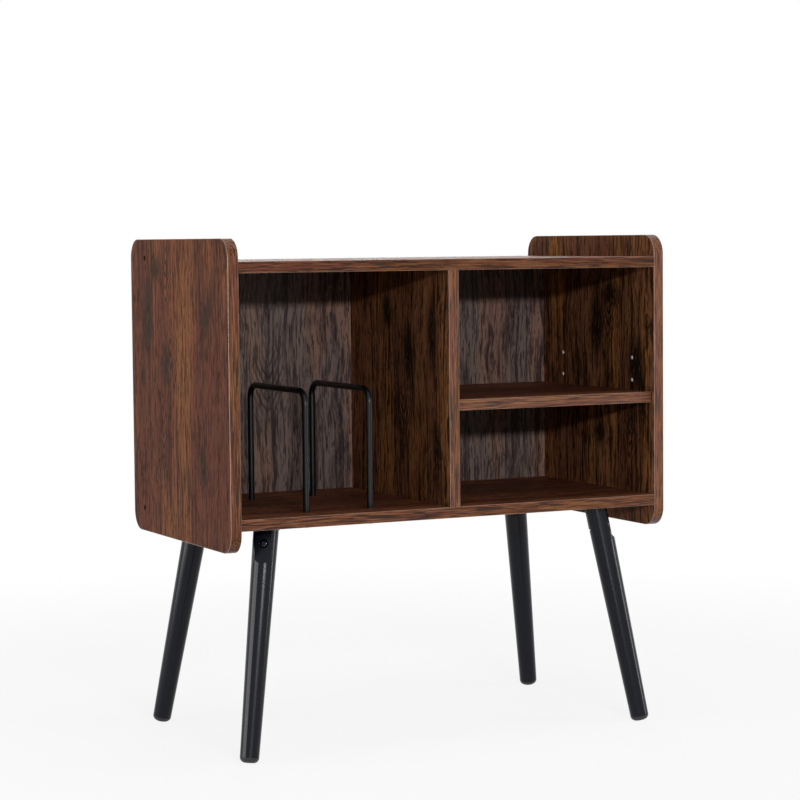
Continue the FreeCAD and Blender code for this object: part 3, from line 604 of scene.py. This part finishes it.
@dataclass(frozen=True)
class Plain:
    """A finish of one colour with a fine texture: lacquer, powder coat, moulded plastic or plated steel.

    The real textures are up to half a millimetre wide. Most are drawn coarser, as coarse as they need to be
    to show.
    """

    name: str
    colour: str
    shade: str
    roughness: float
    speck_mm: Point
    relief_mm: float
    metallic: float = 0.0
    specular: float = 0.5
    rough_spread: float = 0.1
    speck_detail: float = 3.0
    speck_roughness: float = 0.6
    speck_start: float = 0.3
    speck_full: float = 0.7
    relief: float = 0.5

    def build(self) -> Material:
        """Makes the material.

        Returns:
            The finish as a material.
        """
        material, tree = new_material(self.name)
        place = add_node(tree, "TexCoord")["Object"]
        scale = Vector([1 / (size * MM) for size in self.speck_mm])
        mapped = add_node(tree, "Mapping", {"Vector": place, "Scale": scale})[0]
        specks = add_node(tree, "TexNoise", {
            "Vector": mapped, "Scale": 1.0, "Detail": self.speck_detail,
            "Roughness": self.speck_roughness})[0]
        span = {"Value": specks, "From Min": self.speck_start, "From Max": self.speck_full}
        share = add_node(tree, "MapRange", span)[0]
        colour = add_node(tree, "Mix", {
            "Factor": share, COLOUR_A: linear(self.colour), COLOUR_B: linear(self.shade)},
            data_type="RGBA")[COLOUR_RESULT]
        smooth = self.roughness - self.rough_spread / 2
        matt = self.roughness + self.rough_spread / 2
        gloss = add_node(tree, "MapRange", {"Value": share, "To Min": smooth, "To Max": matt})[0]
        look = {"Base Color": colour, "Roughness": gloss, "Metallic": self.metallic,
                "Specular IOR Level": self.specular}
        add_surface(tree, look, specks, self.relief_mm, self.relief)
        return material


# Pieces that are modelled in more detail than the solids


def islands(node: str, weld_mm: float = 0.001, digits: int = 5) -> list[Vector]:
    """The middles of a CAD node's separate solids.

    Args:
        node: The node's name.
        weld_mm: Points that are nearer to each other than this are one.
        digits: The decimals, in metres, that the solids are sorted by.

    Returns:
        The middle of each solid's box, in metres.
    """
    mesh = bmesh.new()
    mesh.from_mesh(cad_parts[node].data)
    bmesh.ops.remove_doubles(mesh, verts=mesh.verts, dist=weld_mm * MM)
    waiting = set(mesh.verts)
    middles = []
    while waiting:
        reached = [waiting.pop()]
        for vertex in reached:
            for edge in vertex.link_edges:
                other = edge.other_vert(vertex)
                if other in waiting:
                    waiting.remove(other)
                    reached.append(other)
        low = Vector([min(v.co[i] for v in reached) for i in range(3)])
        high = Vector([max(v.co[i] for v in reached) for i in range(3)])
        middles.append((low + high) / 2)
    mesh.free()
    return sorted(middles, key=lambda middle: tuple(round(value, digits) for value in middle))


def sort_faces(piece: Piece) -> None:
    """Puts a piece's faces in a fixed order, because extruding leaves them in another order in each run.

    Args:
        piece: The piece.
    """
    mesh = bmesh.new()
    mesh.from_mesh(piece.data)
    in_order = sorted(mesh.faces, key=lambda face: [vertex.index for vertex in face.verts])
    for number, face in enumerate(in_order):
        face.index = number
    mesh.faces.sort()
    mesh.to_mesh(piece.data)
    mesh.free()


def facing(place: Vector, way: Vector) -> Matrix:
    """The placement that puts a piece's origin at a place, its top facing a way.

    Args:
        place: Where the origin goes.
        way: Where +Z goes.

    Returns:
        The placement.
    """
    return Matrix.Translation(place) @ way.to_track_quat("Z", "Y").to_matrix().to_4x4()


@dataclass
class Fastener:
    """A round moulded or turned piece, modelled once at the origin, head up, and copied to its places.

    A profile gives the radius and the rise of each step. Edges that turn by more than the soft angle stay
    sharp. All sizes are in millimetres.
    """

    name: str
    finish: Material
    slot: str
    stands_for: str
    corners: int = 48
    soft_deg: float = 30.0

    def raised(self, corners: int, radius: float, height: float, profile: Profile) -> Piece:
        """Raises a filled ring to a closed form, step by step.

        Args:
            corners: The ring's corners.
            radius: The ring's radius.
            height: The ring's height.
            profile: The steps that follow.

        Returns:
            The form, with its faces outwards.
        """
        bpy.ops.object.select_all(action="DESELECT")
        bpy.ops.mesh.primitive_circle_add(vertices=corners, radius=radius * MM, fill_type="NGON",
                                          location=(0, 0, height * MM))
        form = bpy.context.object
        bpy.ops.object.transform_apply(location=True, rotation=False, scale=False)
        bpy.ops.object.mode_set(mode="EDIT")
        bpy.ops.mesh.select_all(action="SELECT")
        for wide, up in profile:
            bpy.ops.mesh.extrude_region_move(TRANSFORM_OT_translate={"value": (0, 0, up * MM)})
            if wide != radius:
                bpy.ops.transform.resize(value=(wide / radius, wide / radius, 1))
            radius = wide
        bpy.ops.mesh.select_all(action="SELECT")
        bpy.ops.mesh.normals_make_consistent(inside=False)
        bpy.ops.object.mode_set(mode="OBJECT")
        sort_faces(form)
        return form

    def turned(self, radius: float, height: float, profile: Profile) -> Piece:
        """Raises the round piece and makes it smooth, but for its sharp edges.

        Args:
            radius: The radius that it starts with.
            height: The height that it starts at.
            profile: The steps that follow.

        Returns:
            The piece.
        """
        piece = self.raised(self.corners, radius, height, profile)
        piece.name = self.name
        bpy.ops.object.shade_smooth_by_angle(angle=math.radians(self.soft_deg))
        return piece

    def cut(self, piece: Piece, cutter: Piece) -> None:
        """Cuts one piece out of another.

        Args:
            piece: What is cut.
            cutter: What it is cut with, which goes.
        """
        bpy.ops.object.select_all(action="DESELECT")
        bpy.context.view_layer.objects.active = piece
        piece.select_set(True)
        tool = piece.modifiers.new("cut", "BOOLEAN")
        tool.operation = "DIFFERENCE"
        tool.solver = "EXACT"
        tool.object = cutter
        bpy.ops.object.modifier_apply(modifier=tool.name)
        bpy.data.objects.remove(cutter, do_unlink=True)

    def hanging(self, height: float) -> list[Matrix]:
        """Places head down under the middle of each solid that it stands for, at a height in metres."""
        down = Vector((0, 0, -1))
        return [facing(Vector((spot.x, spot.y, height)), down) for spot in islands(self.stands_for)]

    def spread(self, piece: Piece, places: Sequence[Matrix]) -> None:
        """Puts the piece at its first place and copies of it at the others, all riding on the cabinet.

        Args:
            piece: The piece at the origin.
            places: The placements.
        """
        piece.data.materials.clear()
        piece.data.materials.append(self.finish)
        for number, place in enumerate(places):
            twin = piece
            if number:
                twin = bpy.data.objects.new(f"{self.name}_{number + 1}", piece.data.copy())
                bpy.context.scene.collection.objects.link(twin)
                twin.data.transform(places[0].inverted())
            twin.data.transform(place)
            twin.data.update()
            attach(twin, "cabinet")
            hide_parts(self.stands_for)
            LOG.info("%s: modelled in %s", twin.name, self.finish.name)


@dataclass
class PinHoleCap(Fastener):
    """A white cap in a spare pin hole: a low dome with a fine rim, on a stem with a rounded end."""

    corners: int = 32
    soft_deg: float = 40.0
    stem_end: float = 2.1
    stem_length: float = 5.0
    stem: Profile = ((2.45, 0.5), (2.5, 4.4), (2.5, 0.1))
    dome: Profile = ((2.8, OUTWARDS), (2.8, 0.3), (2.72, 0.12), (2.45, 0.3), (1.95, 0.24), (1.2, 0.16),
                     (0.4, 0.07))
    middle_to_seat: float = 1.9

    def make(self) -> None:
        """Makes all the caps, on both walls of the shelf bay, each with its seat on the wall."""
        left, right = (corner.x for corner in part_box(self.stands_for))
        places = []
        for spot in islands(self.stands_for):
            out = Vector((1 if spot.x < (left + right) / 2 else -1, 0, 0))
            places.append(facing(spot + out * self.middle_to_seat * MM, out))
        self.spread(self.turned(self.stem_end, -self.stem_length, self.stem + self.dome), places)


@dataclass
class WireScrewCap(Fastener):
    """A brown cap pushed over a screw head under the bottom panel: a dome with a flat rim, hollow above.

    It is modelled upside down, from the end of its hollow down to its rim and up over its dome.
    """

    soft_deg: float = 40.0
    hollow_radius: float = 4.65
    hollow_depth: float = 3.15
    hollow: Profile = ((4.65, -3.1), (4.9, -0.05))
    rim: Profile = ((6.1, OUTWARDS), (6.3, 0.2), (6.3, 2.6))
    dome: Profile = ((6.1, 0.9), (5.5, 0.9), (4.4, 0.75), (2.9, 0.45), (1.1, 0.17))

    def make(self) -> None:
        """Makes all the caps."""
        cap = self.turned(self.hollow_radius, self.hollow_depth, self.hollow + self.rim + self.dome)
        self.spread(cap, self.hanging(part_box(self.stands_for)[1].z))


@dataclass
class Screw(Fastener):
    """A turned piece with a point, a thread, a plain neck up to its seat, and a head."""

    tip: float = 0.4
    point: Profile = ((1.45, 3.0),)
    thread: Profile = ((2.0, 0.49), (2.0, 0.14), (1.45, 0.49), (1.45, 0.28))
    turns: int = 6
    neck: float = 1.95
    neck_chamfer: float = 0.1
    reach: float = 14.0
    seat: float = 0.0
    head: Profile = ((3.6, OUTWARDS), (3.8, 0.25), (3.8, 1.1), (3.6, 0.5), (3.1, 0.4), (2.3, 0.25),
                     (1.2, 0.1))

    def blank(self) -> Piece:
        """Turns the screw, from its tip to the top of its head.

        Returns:
            The screw, with no recess yet.
        """
        below = self.point + self.thread * self.turns
        left = self.reach - sum(up for _, up in below)
        neck = ((self.neck, self.neck_chamfer), (self.neck, left - self.neck_chamfer))
        return self.turned(self.tip, self.seat - self.reach, below + neck + self.head)


@dataclass
class BracketScrew(Screw):
    """A pan-headed screw with a cross recess, a threaded shank and a point, its seat at the origin."""

    corners: int = 32
    head_height: float = 2.6
    recess_length: float = 4.2
    recess_width: float = 0.8
    recess_floor: float = 1.2
    recess_depth: float = 2.4
    recess_taper_share: float = 0.45

    def blade(self, turn: float) -> Piece:
        """One arm of the recess: a bar that tapers to its floor.

        Args:
            turn: Its turn about the screw.

        Returns:
            The bar.
        """
        middle = (self.recess_floor + self.recess_depth / 2) * MM
        size = Vector((self.recess_length, self.recess_width, self.recess_depth)) * MM
        bpy.ops.object.select_all(action="DESELECT")
        bpy.ops.mesh.primitive_cube_add(size=1.0)
        bar = bpy.context.object
        bar.data.transform(Matrix.Rotation(turn, 4, "Z") @ Matrix.Translation((0, 0, middle))
                           @ Matrix.Diagonal(size).to_4x4())
        bpy.ops.object.mode_set(mode="EDIT")
        bpy.ops.mesh.select_all(action="DESELECT")
        bpy.ops.object.mode_set(mode="OBJECT")
        for face in bar.data.polygons:
            face.select = face.normal.z < -HALF_WAY
        bpy.ops.object.mode_set(mode="EDIT")
        bpy.ops.transform.resize(value=(self.recess_taper_share, self.recess_taper_share, 1),
                                 center_override=(0, 0, self.recess_floor * MM))
        bpy.ops.object.mode_set(mode="OBJECT")
        return bar

    def make(self) -> None:
        """Makes all the screws under the four brackets."""
        screw = self.blank()
        for turn in (0.0, math.pi / 2):
            self.cut(screw, self.blade(turn))
        self.spread(screw, self.hanging(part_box(self.stands_for)[0].z + self.head_height * MM))


@dataclass
class LegBolt(Screw):
    """A bolt through a leg: its head has a rounded shoulder and a hexagonal socket, and its end a thread.

    It is modelled with the leg's centre line at the origin.
    """

    tip: float = 2.4
    point: Profile = ((2.95, 0.5),)
    thread: Profile = ((2.95, 0.2), (2.55, 0.35), (2.55, 0.1), (2.95, 0.35))
    turns: int = 8
    neck: float = 2.98
    reach: float = 25.4
    seat: float = 7.4
    head: Profile = ((5.8, OUTWARDS), (6.0, 0.25), (6.0, 1.75), (5.85, 0.55), (5.45, 0.55), (4.85, 0.45),
                     (4.2, 0.3), (3.3, 0.15))
    key_sides: int = 6
    key_across: float = 4.0
    key_length: float = 6.0
    seat_to_key: float = 1.5
    leg_top: Point = (270.0, 128.0, 328.0)
    splay: tuple[float, float] = (50.0, 45.0)
    drop: float = 27.0
    flat_turn_deg: float = 13.0

    def key(self) -> Piece:
        """The hexagonal bar that the socket is cut with.

        Returns:
            The bar.
        """
        radius = self.key_across / 2 / math.cos(math.pi / self.key_sides)
        floor = self.seat + self.seat_to_key
        return self.raised(self.key_sides, radius, floor, ((radius, self.key_length),))

    def place(self, side_x: int, side_y: int) -> Matrix:
        """The placement of one leg's bolt, square to the leg's milled flat.

        Args:
            side_x: -1 for the left, 1 for the right.
            side_y: -1 for the front, 1 for the rear.

        Returns:
            The placement.
        """
        top_x, top_y, top_z = self.leg_top
        out = Vector((side_x * self.splay[0], side_y * self.splay[1], 0))
        lean = math.atan2(out.length, top_z)
        away = out.normalized()
        square = Vector((-away.y, away.x, 0))
        up = Vector((0, 0, 1))
        turn = math.radians(self.flat_turn_deg)
        way = math.cos(turn) * (math.cos(lean) * away + math.sin(lean) * up) + math.sin(turn) * square
        top = Vector((side_x * top_x, side_y * top_y, top_z))
        spot = top + away * self.drop * math.tan(lean) - up * self.drop
        return facing(spot * MM, way)

    def make(self) -> None:
        """Makes all four bolts."""
        bolt = self.blank()
        self.cut(bolt, self.key())
        self.spread(bolt, [self.place(side_x, side_y) for side_y in (-1, 1) for side_x in (-1, 1)])


# Sub-assemblies


@dataclass
class Carcass:
    """The boards, their banding and the back panel."""

    first_shift: float = 1.7
    shift_step: float = 2.3

    def dress_boards(self) -> None:
        """Gives each board its own cut of the print."""
        x, y, z = Axis
        left_arches = (Arch(46, 630, 36, 110), Arch(62, 380, 38, 140, 17),
                       Arch(34, 500, 28, 110, 20, 3), Arch(150, 330, 26, 100, 20, 2.8))
        left_stains = (Mark(126, 615, 26, 60), Mark(-106, 621, 15, 28),
                       Mark(-90, 409, 16, 36), Mark(50, 545, 22, 30),
                       Mark(147, 528, 10, 18), Mark(-118, 640, 8, 14),
                       Mark(90, 690, 30, 20))
        left_streaks = (Mark(-13, 600, 13, 80), Mark(-40, 488, 12, 70),
                        Mark(-20, 400, 12, 90))
        right_arches = (Arch(-60, 560, 30, 90), Arch(-120, 380, 30, 90))
        right_knots = (Mark(-74, 638, 16, 18), Mark(-176, 602, 12, 16))
        right_stains = (Mark(-142, 535, 26, 44), Mark(-158, 492, 12, 44),
                        Mark(-62, 642, 26, 24), Mark(-28, 590, 20, 50),
                        Mark(-30, 430, 18, 30))
        divider_stains = (Mark(-138, 590, 16, 60), Mark(-60, 560, 16, 50),
                          Mark(-150, 420, 14, 60), Mark(10, 620, 22, 30))
        # Two boards from a more rustic sheet give the eye more gold beside deeper stains. Their print is
        # also
        # lighter: painted light, making up for the dim light inside the bays
        rustic_and_painted_light = {"ground": "#9f6a48", "golden": "#ba7d3e", "plum": "#80513a", "smoke": "#1d1512",
                  "dark": "#2a190f", "contrast": 1.2}
        # The thin back board's print is drawn greyer and cooler, as painted reflection of a bluish sheen.
        # Its smoother face gives the eye a cool sheen as well
        back_print_and_painted_sheen = {"ground": "#7f6156", "golden": "#8c6e57", "plum": "#6a5f5c", "dark": "#30272a",
                      "smoke": "#1b1c22", "contrast": 1.1, "roughness": 0.34, "sheen": 0.16}
        boards = (
            WalnutLaminate("walnut_laminate_left_side", "side_panel_left", z, x, left_arches,
                           (Mark(26, 439, 8, 9),), left_stains, left_streaks),
            WalnutLaminate("walnut_laminate_right_side", "side_panel_right", z, x, right_arches, right_knots,
                           right_stains, (Mark(-84, 662, 12, 12),), shift=3.7, **rustic_and_painted_light),
            WalnutLaminate("walnut_laminate_divider", "divider_panel", z, x, (Arch(-40, 420, 30, 100),),
                           stains=divider_stains, shift=8.2, **rustic_and_painted_light),
            WalnutLaminate("walnut_laminate_top", "top_panel", x, z, (Arch(-40, 60, 34, 130),),
                           shift=5.1),
            WalnutLaminate("walnut_laminate_bottom", "bottom_panel", x, z, (Arch(30, -120, 34, 130),),
                           shift=6.4),
            WalnutLaminate("walnut_laminate_shelf", "shelf_board", x, z, (Arch(-20, 150, 30, 100),),
                           shift=1.9),
            WalnutLaminate("walnut_laminate_back", "back_panel", z, y, (Arch(-150, 450, 34, 120),),
                           shift=2.6, **back_print_and_painted_sheen),
        )
        for finish in boards:
            dress(finish.node, finish.build())

    def dress_bands(self) -> None:
        """Gives each strip of banding its own stretch of a light, a medium or a dark print."""
        light: dict[str, Any] = {}
        # A medium roll gives the eye a deeper brown with less gloss, and a dark one still more so
        # The medium and dark prints are a deeper brown with less gloss: painted shade, standing in for the
        # weaker light on the left, bottom and top strips
        medium = {"ground": "#744229", "golden": "#885427", "red": "#753b2b", "fleck": "#9b694a",
                  "shine": 0.24}
        dark = {"ground": "#6b3c26", "golden": "#7d4c25", "red": "#6c3728", "fleck": "#916143",
                "shine": 0.18}
        upright = (Axis.Z, Axis.X)
        level = (Axis.X, Axis.Z)
        strips = (
            ("side_edge_band_left", upright, medium),
            ("side_edge_band_right", upright, light),
            ("divider_front_band", upright, light),
            ("top_front_band", level, dark),
            ("top_rear_band", level, dark),
            ("bottom_front_band", level, medium),
            ("bottom_rear_band", level, medium),
            ("shelf_front_band", level, light),
        )
        for number, (node, axes, roll) in enumerate(strips):
            shift = self.first_shift + self.shift_step * number
            dress(node, WalnutEdgeBand("walnut_" + node, *axes, shift, **roll).build())


@dataclass
class Legs:
    """The legs with their glides, brackets and fasteners."""

    zinc: Material
    ends: tuple[str, ...] = ("front_left", "front_right", "rear_left", "rear_right")

    def dress_legs(self) -> None:
        """Gives the legs, glides and brackets their finishes."""
        # Sprayed lacquer on turned beech gives the eye a cool near-black, with long soft streaks of light
        lacquer = Plain("black_lacquered_beech", "#0c0f1c", "#080a14", 0.2, (1.4, 1.4, 34.0), 0.01,
                        specular=0.21, rough_spread=0.04).build()
        # Moulded polythene gives the eye a neutral black with a dull, even sheen
        glide = Plain("black_moulded_glide", "#17171a", "#101012", 0.5, (0.6,) * 3, 0.02).build()
        # Powder coat on pressed steel gives the eye a satin black with a faint orange peel
        coat = Plain("black_powder_coated_bracket", "#1b1b1d", "#121214", 0.45, (0.5,) * 3, 0.03).build()
        for end in self.ends:
            dress("leg_" + end, lacquer)
            dress("foot_glide_" + end, glide)
            dress("leg_bracket_" + end, coat)

    def model_fasteners(self) -> None:
        """Models what holds the legs: the bolts, and the brackets' screws."""
        # Black oxide on machined steel gives the eye a dark grey metal, sharp where it catches the light
        black = Plain("black_oxide_steel", "#35363b", "#292a2e", 0.22, (0.3,) * 3, 0.004, metallic=1.0,
                      rough_spread=0.04).build()
        LegBolt("leg_bolt", black, "zinc_plated_steel", "leg_bolts").make()
        BracketScrew("bracket_screw", self.zinc, "zinc_plated_steel", "bracket_screws").make()
        dress("leg_bolt_washers", self.zinc)
        dress("leg_bolt_nuts", self.zinc)


@dataclass
class Fittings:
    """Wires, pins, caps, cams and screws."""

    zinc: Material

    def dress_fittings(self) -> None:
        """Gives each fitting its finish."""
        # Die cast zinc gives the eye a dull grey metal with a slightly mottled skin
        cast = Plain("die_cast_zinc", "#b7b8bb", "#9b9ca0", 0.42, (0.5,) * 3, 0.03, metallic=1.0).build()
        # Powder coat on drawn wire gives the eye a smooth near-black with one soft highlight along it
        wire = Plain("black_powder_coated_wire", "#101014", "#0a0a0d", 0.3, (0.5,) * 3, 0.02,
                     specular=0.24).build()
        # Raw beech gives the eye a pale matt wood with short darker fibres
        beech = Plain("raw_beech", "#c39a6b", "#b08455", 0.7, (0.8, 0.8, 6.0), 0.05).build()
        finishes = {"shelf_pins": self.zinc, "cam_studs": self.zinc, "wire_screws": self.zinc,
                    "divider_screws": self.zinc, "cam_locks": cast, "record_wire_left": wire,
                    "record_wire_right": wire, "wood_dowels": beech}
        for node, finish in finishes.items():
            dress(node, finish)

    def model_caps(self) -> None:
        """Models the caps of the spare pin holes and of the screws under the wires."""
        # Moulded plastic gives the eye a clean warm white, satin and all but smooth
        white = Plain("white_moulded_plastic", "#e6e4df", "#dad8d2", 0.35, (0.8,) * 3, 0.01).build()
        # The same in brown gives the eye a red-brown dot with a soft highlight on its dome
        brown = Plain("brown_moulded_plastic", "#6b4030", "#5d3526", 0.38, (0.8,) * 3, 0.01).build()
        PinHoleCap("pin_hole_cap", white, "white_plastic", "pin_hole_caps").make()
        WireScrewCap("wire_screw_cap", brown, "brown_plastic", "wire_screw_caps").make()


# The studio


@dataclass(frozen=True)
class SoftBox:
    """A soft box: where its middle hangs and what it faces, its size in metres, and its power in watts."""

    name: str
    place: Point
    target: Point
    width: float
    height: float
    watts: float

    def hang(self) -> None:
        """Adds the lamp to the scene."""
        lamp = bpy.data.lights.new(self.name, "AREA")
        lamp.shape = "RECTANGLE"
        lamp.size = self.width
        lamp.size_y = self.height
        lamp.energy = self.watts
        box = bpy.data.objects.new(self.name, lamp)
        box.location = self.place
        box.rotation_euler = (Vector(self.target) - Vector(self.place)).to_track_quat("-Z", "Y").to_euler()
        bpy.context.scene.collection.objects.link(box)


@dataclass
class Studio:
    """A pale floor, soft boxes and the camera, in metres."""

    eye: Point = (-1.6161, -3.2958, 0.7284)
    yaw_deg: float = 26.192
    pitch_deg: float = -3.758
    roll_deg: float = -0.525
    lens_mm: float = 110.05
    sensor_mm: float = 36.0
    sight: float = 100.0
    floor_half: float = 30.0
    floor_grey: str = "#767676"
    floor_lift: float = 0.86
    fade_start: float = 0.7
    fade_end: float = 1.9
    surroundings: float = 0.01
    boxes: tuple[SoftBox, ...] = (
        SoftBox("front_box", (-0.84, -4.5, 1.4), (0.0, 0.0, 0.5), 1.5, 0.16, 101.0),
        SoftBox("low_box", (-1.0, -2.3, 0.06), (0.3, 0.0, 0.2), 0.7, 0.1, 2.2),
        SoftBox("left_box", (-2.9, 0.1, 0.55), (-0.3, 0.0, 0.5), 2.2, 1.0, 37.0),
        SoftBox("right_strip", (2.5, -1.32, 0.6), (0.3, 0.0, 0.3), 0.4, 1.2, 16.0),
        SoftBox("top_box", (0.0, -0.3, 3.0), (0.0, 0.0, 0.7), 1.0, 1.0, 14.0),
        SoftBox("rear_box", (1.4, 3.4, 1.5), (0.0, 0.0, 0.5), 1.6, 1.2, 26.0),
    )

    def place_camera(self) -> None:
        """Sets the camera at the photograph's view."""
        yaw, pitch, roll = (math.radians(angle) for angle in (self.yaw_deg, self.pitch_deg, self.roll_deg))
        ahead = Vector((math.sin(yaw) * math.cos(pitch), math.cos(yaw) * math.cos(pitch), math.sin(pitch)))
        right = Vector((math.cos(yaw), -math.sin(yaw), 0.0))
        up = right.cross(ahead)
        across = math.cos(roll) * right + math.sin(roll) * up
        upward = math.cos(roll) * up - math.sin(roll) * right
        lens = bpy.data.cameras.new("camera")
        lens.lens = self.lens_mm
        lens.sensor_width = self.sensor_mm
        lens.clip_end = self.sight
        camera = bpy.data.objects.new("camera", lens)
        turn = Matrix((across, upward, -ahead)).transposed().to_4x4()
        camera.matrix_world = Matrix.Translation(self.eye) @ turn
        bpy.context.scene.collection.objects.link(camera)
        bpy.context.scene.camera = camera

    def seen_share(self, tree: NodeTree) -> NodeSocket:
        """Where the eye looks: straight, or in a mirror, or through glass.

        Args:
            tree: The tree that asks.

        Returns:
            One for what is seen, and nought for what only gives light.
        """
        path = add_node(tree, "LightPath")
        seen = add_node(tree, "Math", {0: path["Is Camera Ray"], 1: path["Is Glossy Ray"]},
                        operation="MAXIMUM")[0]
        return add_node(tree, "Math", {0: seen, 1: path["Is Transmission Ray"]}, operation="MAXIMUM")[0]

    def lay_floor(self) -> None:
        """Lays a floor that keeps the cabinet's shadow.

        Painted board gives the eye a pale grey near the cabinet, which fades to plain white further out.
        """
        half = self.floor_half
        mesh = bpy.data.meshes.new("floor")
        corners = [(-half, -half, 0), (half, -half, 0), (half, half, 0), (-half, half, 0)]
        mesh.from_pydata(corners, [], [(0, 1, 2, 3)])
        floor = bpy.data.objects.new("floor", mesh)
        bpy.context.scene.collection.objects.link(floor)
        material, tree = new_material("pale_floor")
        seen = self.seen_share(tree)
        place = add_node(tree, "TexCoord")["Object"]
        far = add_node(tree, "VectorMath", {0: place}, operation="LENGTH")["Value"]
        span = {"Value": far, "From Min": self.fade_start, "From Max": self.fade_end}
        fade = add_node(tree, "MapRange", span, interpolation_type="SMOOTHSTEP")[0]
        share = add_node(tree, "Math", {0: fade, 1: seen}, operation="MULTIPLY")[0]
        lift = add_node(tree, "Math", {0: seen, 1: self.floor_lift}, operation="MULTIPLY")[0]
        matt = add_node(tree, "BsdfDiffuse", {"Color": linear(self.floor_grey)})[0]
        glow = add_node(tree, "Emission", {"Color": WHITE, "Strength": lift})[0]
        near = add_node(tree, "AddShader", {0: matt, 1: glow})[0]
        white = add_node(tree, "Emission", {"Color": WHITE, "Strength": 1.0})[0]
        both = add_node(tree, "MixShader", {0: share, 1: near, 2: white})[0]
        add_node(tree, "OutputMaterial", {"Surface": both})
        mesh.materials.append(material)

    def light(self) -> None:
        """Hangs the soft boxes and sets surroundings that are seen as white and give almost no light."""
        for box in self.boxes:
            box.hang()
        world = bpy.data.worlds.new("studio")
        bpy.context.scene.world = world
        world.use_nodes = True
        tree = world.node_tree
        tree.nodes.clear()
        seen = self.seen_share(tree)
        strength = add_node(tree, "MapRange", {"Value": seen, "To Min": self.surroundings})[0]
        sky = add_node(tree, "Background", {"Color": WHITE, "Strength": strength})[0]
        add_node(tree, "OutputWorld", {"Surface": sky})
        bpy.context.scene.view_settings.view_transform = "Standard"


def main() -> None:
    """Dresses the cabinet, sub-assembly by sub-assembly, and sets the studio."""
    logging.basicConfig(level=logging.INFO, format="%(name)s: %(message)s")
    # Bright zinc plate gives the eye a cool light metal with soft highlights
    zinc = Plain("bright_zinc_plated_steel", "#c9ccd1", "#aeb2b9", 0.3, (0.4,) * 3, 0.01,
                 metallic=1.0).build()
    carcass = Carcass()
    carcass.dress_boards()
    carcass.dress_bands()
    legs = Legs(zinc)
    legs.dress_legs()
    legs.model_fasteners()
    fittings = Fittings(zinc)
    fittings.dress_fittings()
    fittings.model_caps()
    studio = Studio()
    studio.place_camera()
    studio.lay_floor()
    studio.light()


if __name__ == "__main__":
    main()
